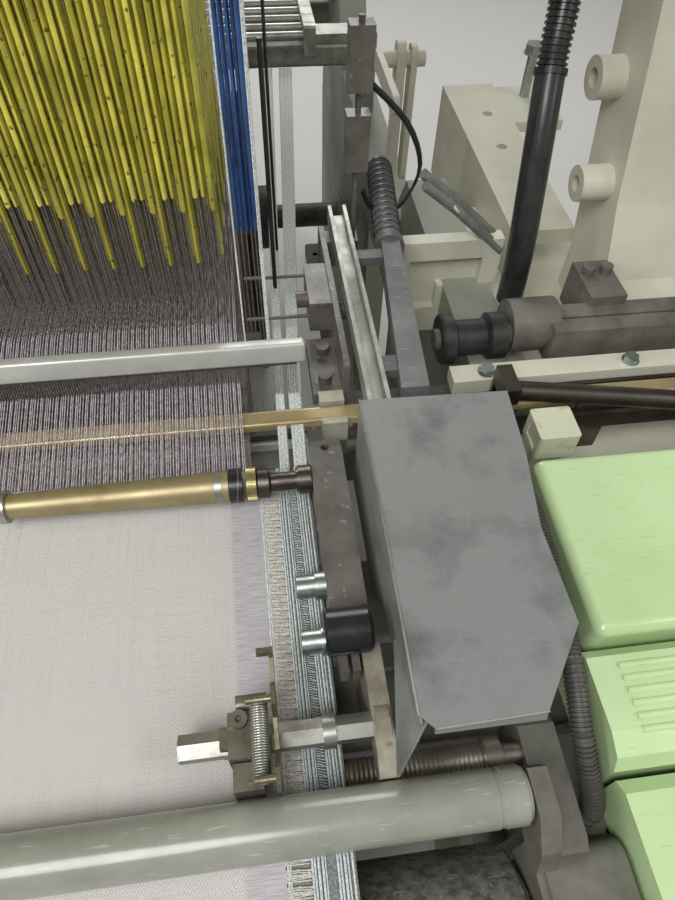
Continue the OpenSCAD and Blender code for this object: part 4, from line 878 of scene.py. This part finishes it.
bright = [turned(331.5, 338, 14.4), turned(513, 519, 14.4), coil_ring(531.5, -28, 26, 15.6, 0.35, 9)]
settle(both_sides(joined("temple_rings", bright)), bright_steel, "frame", "bright_steel")
collar = both_sides(turned(525.4, 537, 15.4))
collar.name = "temple_collar"
settle(collar, black_plastic, "frame", "black_plastic")
teeth = turned(540.5, 549, 14.7)
rib = turned(540.5, 549, 0.9, v=-28, w=26 + 14.5, sides=6)
ribs = [rib]
for number in range(1, 40):
    copy = rib.copy()
    copy.data = rib.data.copy()
    bpy.context.collection.objects.link(copy)
    copy.data.transform(Matrix.Translation(at(0, -28, 26)) @ Matrix.Rotation(math.radians(9 * number), 4, "X")
        @ Matrix.Translation(-at(0, -28, 26)))
    ribs.append(copy)
settle(both_sides(joined("temple_knurl", [teeth] + ribs)), ring_brass, "frame", "temple_brass")
swivel = [turned(549, 550.5, 12, 13.5), turned(550.5, 560, 13.5), turned(560, 561.5, 13.5, 11.5), turned(561, 584, 8.4),
    turned(584, 586, 11), turned(586, 597, 13), turned(597, 598, 13, 12)]
settle(both_sides(joined("temple_swivel", swivel)), oiled_steel, "frame", "oiled_steel", "temple_joints")
coils = repeat(coil_ring(541, -275.6, 51.5, 5.2, 0.85), 1, y=1)
coils.data.transform(Matrix.Translation(at(541, -275.6, 51.5)) @ Matrix.Rotation(math.radians(90), 4, "Z")
    @ Matrix.Translation(-at(541, -275.6, 51.5)))
spring = repeat(coils, 29, y=1.7)
spring.name = "spring_coils"
settle(spring, bright_steel, "frame", "bright_steel", "clamp_spring")

# Hoses and cables
# The black cable hose is smooth up to a tie and corrugated above it. The grey conduit beside the guard is
# tightly ringed, and so is the suction hose behind it.
hose_gloss = surface("hose_gloss", (34, 35, 36), (54, 54, 52), (0.22, 0.36), coat=0.2, blotch=30, bump=0.05)


def smooth_route(corners, steps=8):
    """Points on a smooth curve through the corners."""
    made = []
    for i in range(len(corners) - 1):
        a, b, c, d = (Vector(corners[max(0, min(len(corners) - 1, k))]) for k in (i - 1, i, i + 1, i + 2))
        for step in range(steps):
            t = step / steps
            made.append(0.5 * ((2 * b) + (c - a) * t + (2 * a - 5 * b + 4 * c - d) * t * t
                + (3 * b - a - 3 * c + d) * t * t * t))
    made.append(Vector(corners[-1]))
    return made


def ringed(name, route, profile, sides=16):
    """A hose whose radius follows a profile of (distance, radius) steps repeated along the route."""
    far = [0]
    for here, there in zip(route, route[1:]):
        far.append(far[-1] + (there - here).length)
    centres, radii, leads = [], [], []
    period = profile[-1][0]
    for turn_no in range(int(far[-1] / period)):
        for distance, radius in profile[:-1]:
            place = turn_no * period + distance
            index = min(max(i for i, f in enumerate(far) if f <= place), len(route) - 2)
            share = (place - far[index]) / (far[index + 1] - far[index])
            centres.append(route[index].lerp(route[index + 1], share))
            leads.append((route[index + 1] - route[index]).normalized())
            radii.append(radius)
    centres.append(route[-1])
    leads.append((route[-1] - route[-2]).normalized())
    radii.append(profile[0][1])
    points, faces = [], []
    side = Vector((1, 0, 0))
    for centre, radius, lead in zip(centres, radii, leads):
        side = (side - lead * side.dot(lead)).normalized()
        other = lead.cross(side)
        for k in range(sides):
            angle = 2 * math.pi * k / sides
            spot = centre + side * radius * math.cos(angle) + other * radius * math.sin(angle)
            points.append(at(*spot))
    for row in range(len(centres) - 1):
        for k in range(sides):
            a, b = row * sides + k, row * sides + (k + 1) % sides
            faces.append((a, b, b + sides, a + sides))
    faces.append(tuple(reversed(range(sides))))
    faces.append(tuple(range((len(centres) - 1) * sides, len(centres) * sides)))
    mesh = bpy.data.meshes.new(name)
    mesh.from_pydata(points, [], faces)
    hose = bpy.data.objects.new(name, mesh)
    bpy.context.collection.objects.link(hose)
    bpy.ops.object.select_all(action="DESELECT")
    bpy.context.view_layer.objects.active = hose
    hose.select_set(True)
    bpy.ops.object.shade_smooth_by_angle(angle=math.radians(60))
    bpy.ops.object.select_all(action="DESELECT")
    return hose


hose_line = smooth_route([(870, 247, -22), (870, 247, 0), (869, 252, 60), (874, 285, 150), (881, 318, 212),
    (886, 335, 250), (905, 385, 350), (960, 430, 440), (1080, 455, 500), (1240, 460, 520), (1400, 460, 520),
    (1460, 460, 520)])
lower = ringed("hose_smooth", hose_line[:33], ((0, 15.6), (6, 15.6)))
upper = ringed("hose_ringed", hose_line[32:], ((0, 15.8), (2.6, 15.8), (3.2, 13.6), (5.2, 13.6), (5.8, 15.8)))
cable_hose = settle(joined("cable_hose_rings", [lower, upper]), hose_gloss, "frame", "hose_plastic", "cable_hose")
conduit_line = smooth_route([(809, -24, -30), (807, -25, -22), (799, -28, -11), (789, -33, 0), (782, -40, 14),
    (779, -53, 28), (779, -74, 37), (779, -103, 40), (775, -160, 40), (769, -219, 38), (765, -262, 26), (767, -288, 7),
    (771, -302, -10), (772, -308, -22), (772, -309, -30), (772, -309, -36)])
conduit = ringed("conduit_rings", conduit_line, ((0, 8), (1.5, 8), (1.9, 6.9), (2.7, 6.9), (3.1, 8)))
settle(conduit, conduit_plastic, "frame", "hose_plastic", "conduit")
duct_rings = []
turned_by = math.radians(-5.5)
for number in range(13):
    along = 8 + number * 12
    spot = (716 - along * math.sin(turned_by), 263 + along * math.cos(turned_by), 59)
    bpy.ops.mesh.primitive_torus_add(major_segments=36, minor_segments=8, major_radius=14.6 * mm,
        minor_radius=1.6 * mm, location=at(*spot), rotation=(math.pi / 2, 0, turned_by))
    bpy.ops.object.transform_apply(location=True, rotation=True, scale=True)
    bpy.ops.object.shade_smooth()
    duct_rings.append(bpy.context.object)
settle(joined("suction_hose_rings", duct_rings), hose_gloss, "frame", "hose_plastic")

# Small pieces at the right
# Bright bent edges of the guard, cable ties and thin cables near the green cover, as the photograph
# shows them.
edge_highlight = surface("edge_highlight", (206, 208, 200), (150, 152, 146), (0.24, 0.4), metal=0.85, blotch=40)
tie_black = surface("tie_black", (26, 26, 27), (42, 42, 42), (0.3, 0.5), blotch=60)
tie_white = surface("tie_white", (204, 204, 196), (158, 156, 146), (0.35, 0.5), blotch=60)
lint_blue = yarn_finish("lint_blue", (62, 74, 108), (38, 46, 74), 900)
cable_grey = surface("cable_grey", (128, 130, 124), (96, 98, 92), (0.4, 0.55), blotch=60)
# The guard's edge and lip strips are light steel laid on its bends: a painted highlight of the folds.
for name, material, slot, radius, corners in (
        ("guard_edge_highlight", edge_highlight, "bright_steel", 0.9, [(641, -5, 100.2), (641, -140, 100.2), (641, -258, 89.7)]),
        ("guard_lip_highlight", edge_highlight, "bright_steel", 0.8, [(650, -267, 88.8), (723, -265, 89)]),
        ("grey_cable_a", cable_grey, "hose_plastic", 6, [(760, 300, 104), (800, 300, 72), (867, 300, 11)]),
        ("grey_cable_b", cable_grey, "hose_plastic", 6, [(760, 314, 110), (800, 314, 78), (867, 314, 17)]),
        ("black_cable", tie_black, "black_plastic", 3.4, [(695, 330, 205), (740, 330, 160), (760, 330, 111),
            (748, 330, 70), (730, 330, 53), (706, 330, 62), (695, 330, 84)])):
    line = [at(*p) for p in (smooth_route(corners, 4) if len(corners) > 4 else corners)]
    settle(thread(name, line, radius, 12), material, "frame", slot)
bpy.ops.mesh.primitive_torus_add(major_segments=32, minor_segments=8, major_radius=7 * mm, minor_radius=2 * mm,
    location=at(800, 307, 74), rotation=(0, math.radians(48), 0))
bpy.ops.object.transform_apply(location=True, rotation=True, scale=True)
cable_tie = bpy.context.object
cable_tie.name = "cable_tie"
cable_tie.data.transform(Matrix.Translation(at(800, 307, 74)) @ Matrix.Scale(2.0, 4, (0, 1, 0))
    @ Matrix.Translation(-at(800, 307, 74)))
settle(cable_tie, tie_white, "frame", "black_plastic")
bpy.ops.mesh.primitive_cylinder_add(vertices=32, radius=17.2 * mm, depth=6 * mm, location=at(881, 318, 212),
    rotation=(math.radians(-30), math.radians(8), 0))
bpy.ops.object.transform_apply(location=True, rotation=True, scale=True)
hose_tie = bpy.context.object
hose_tie.name = "hose_tie"
settle(hose_tie, tie_black, "frame", "black_plastic")
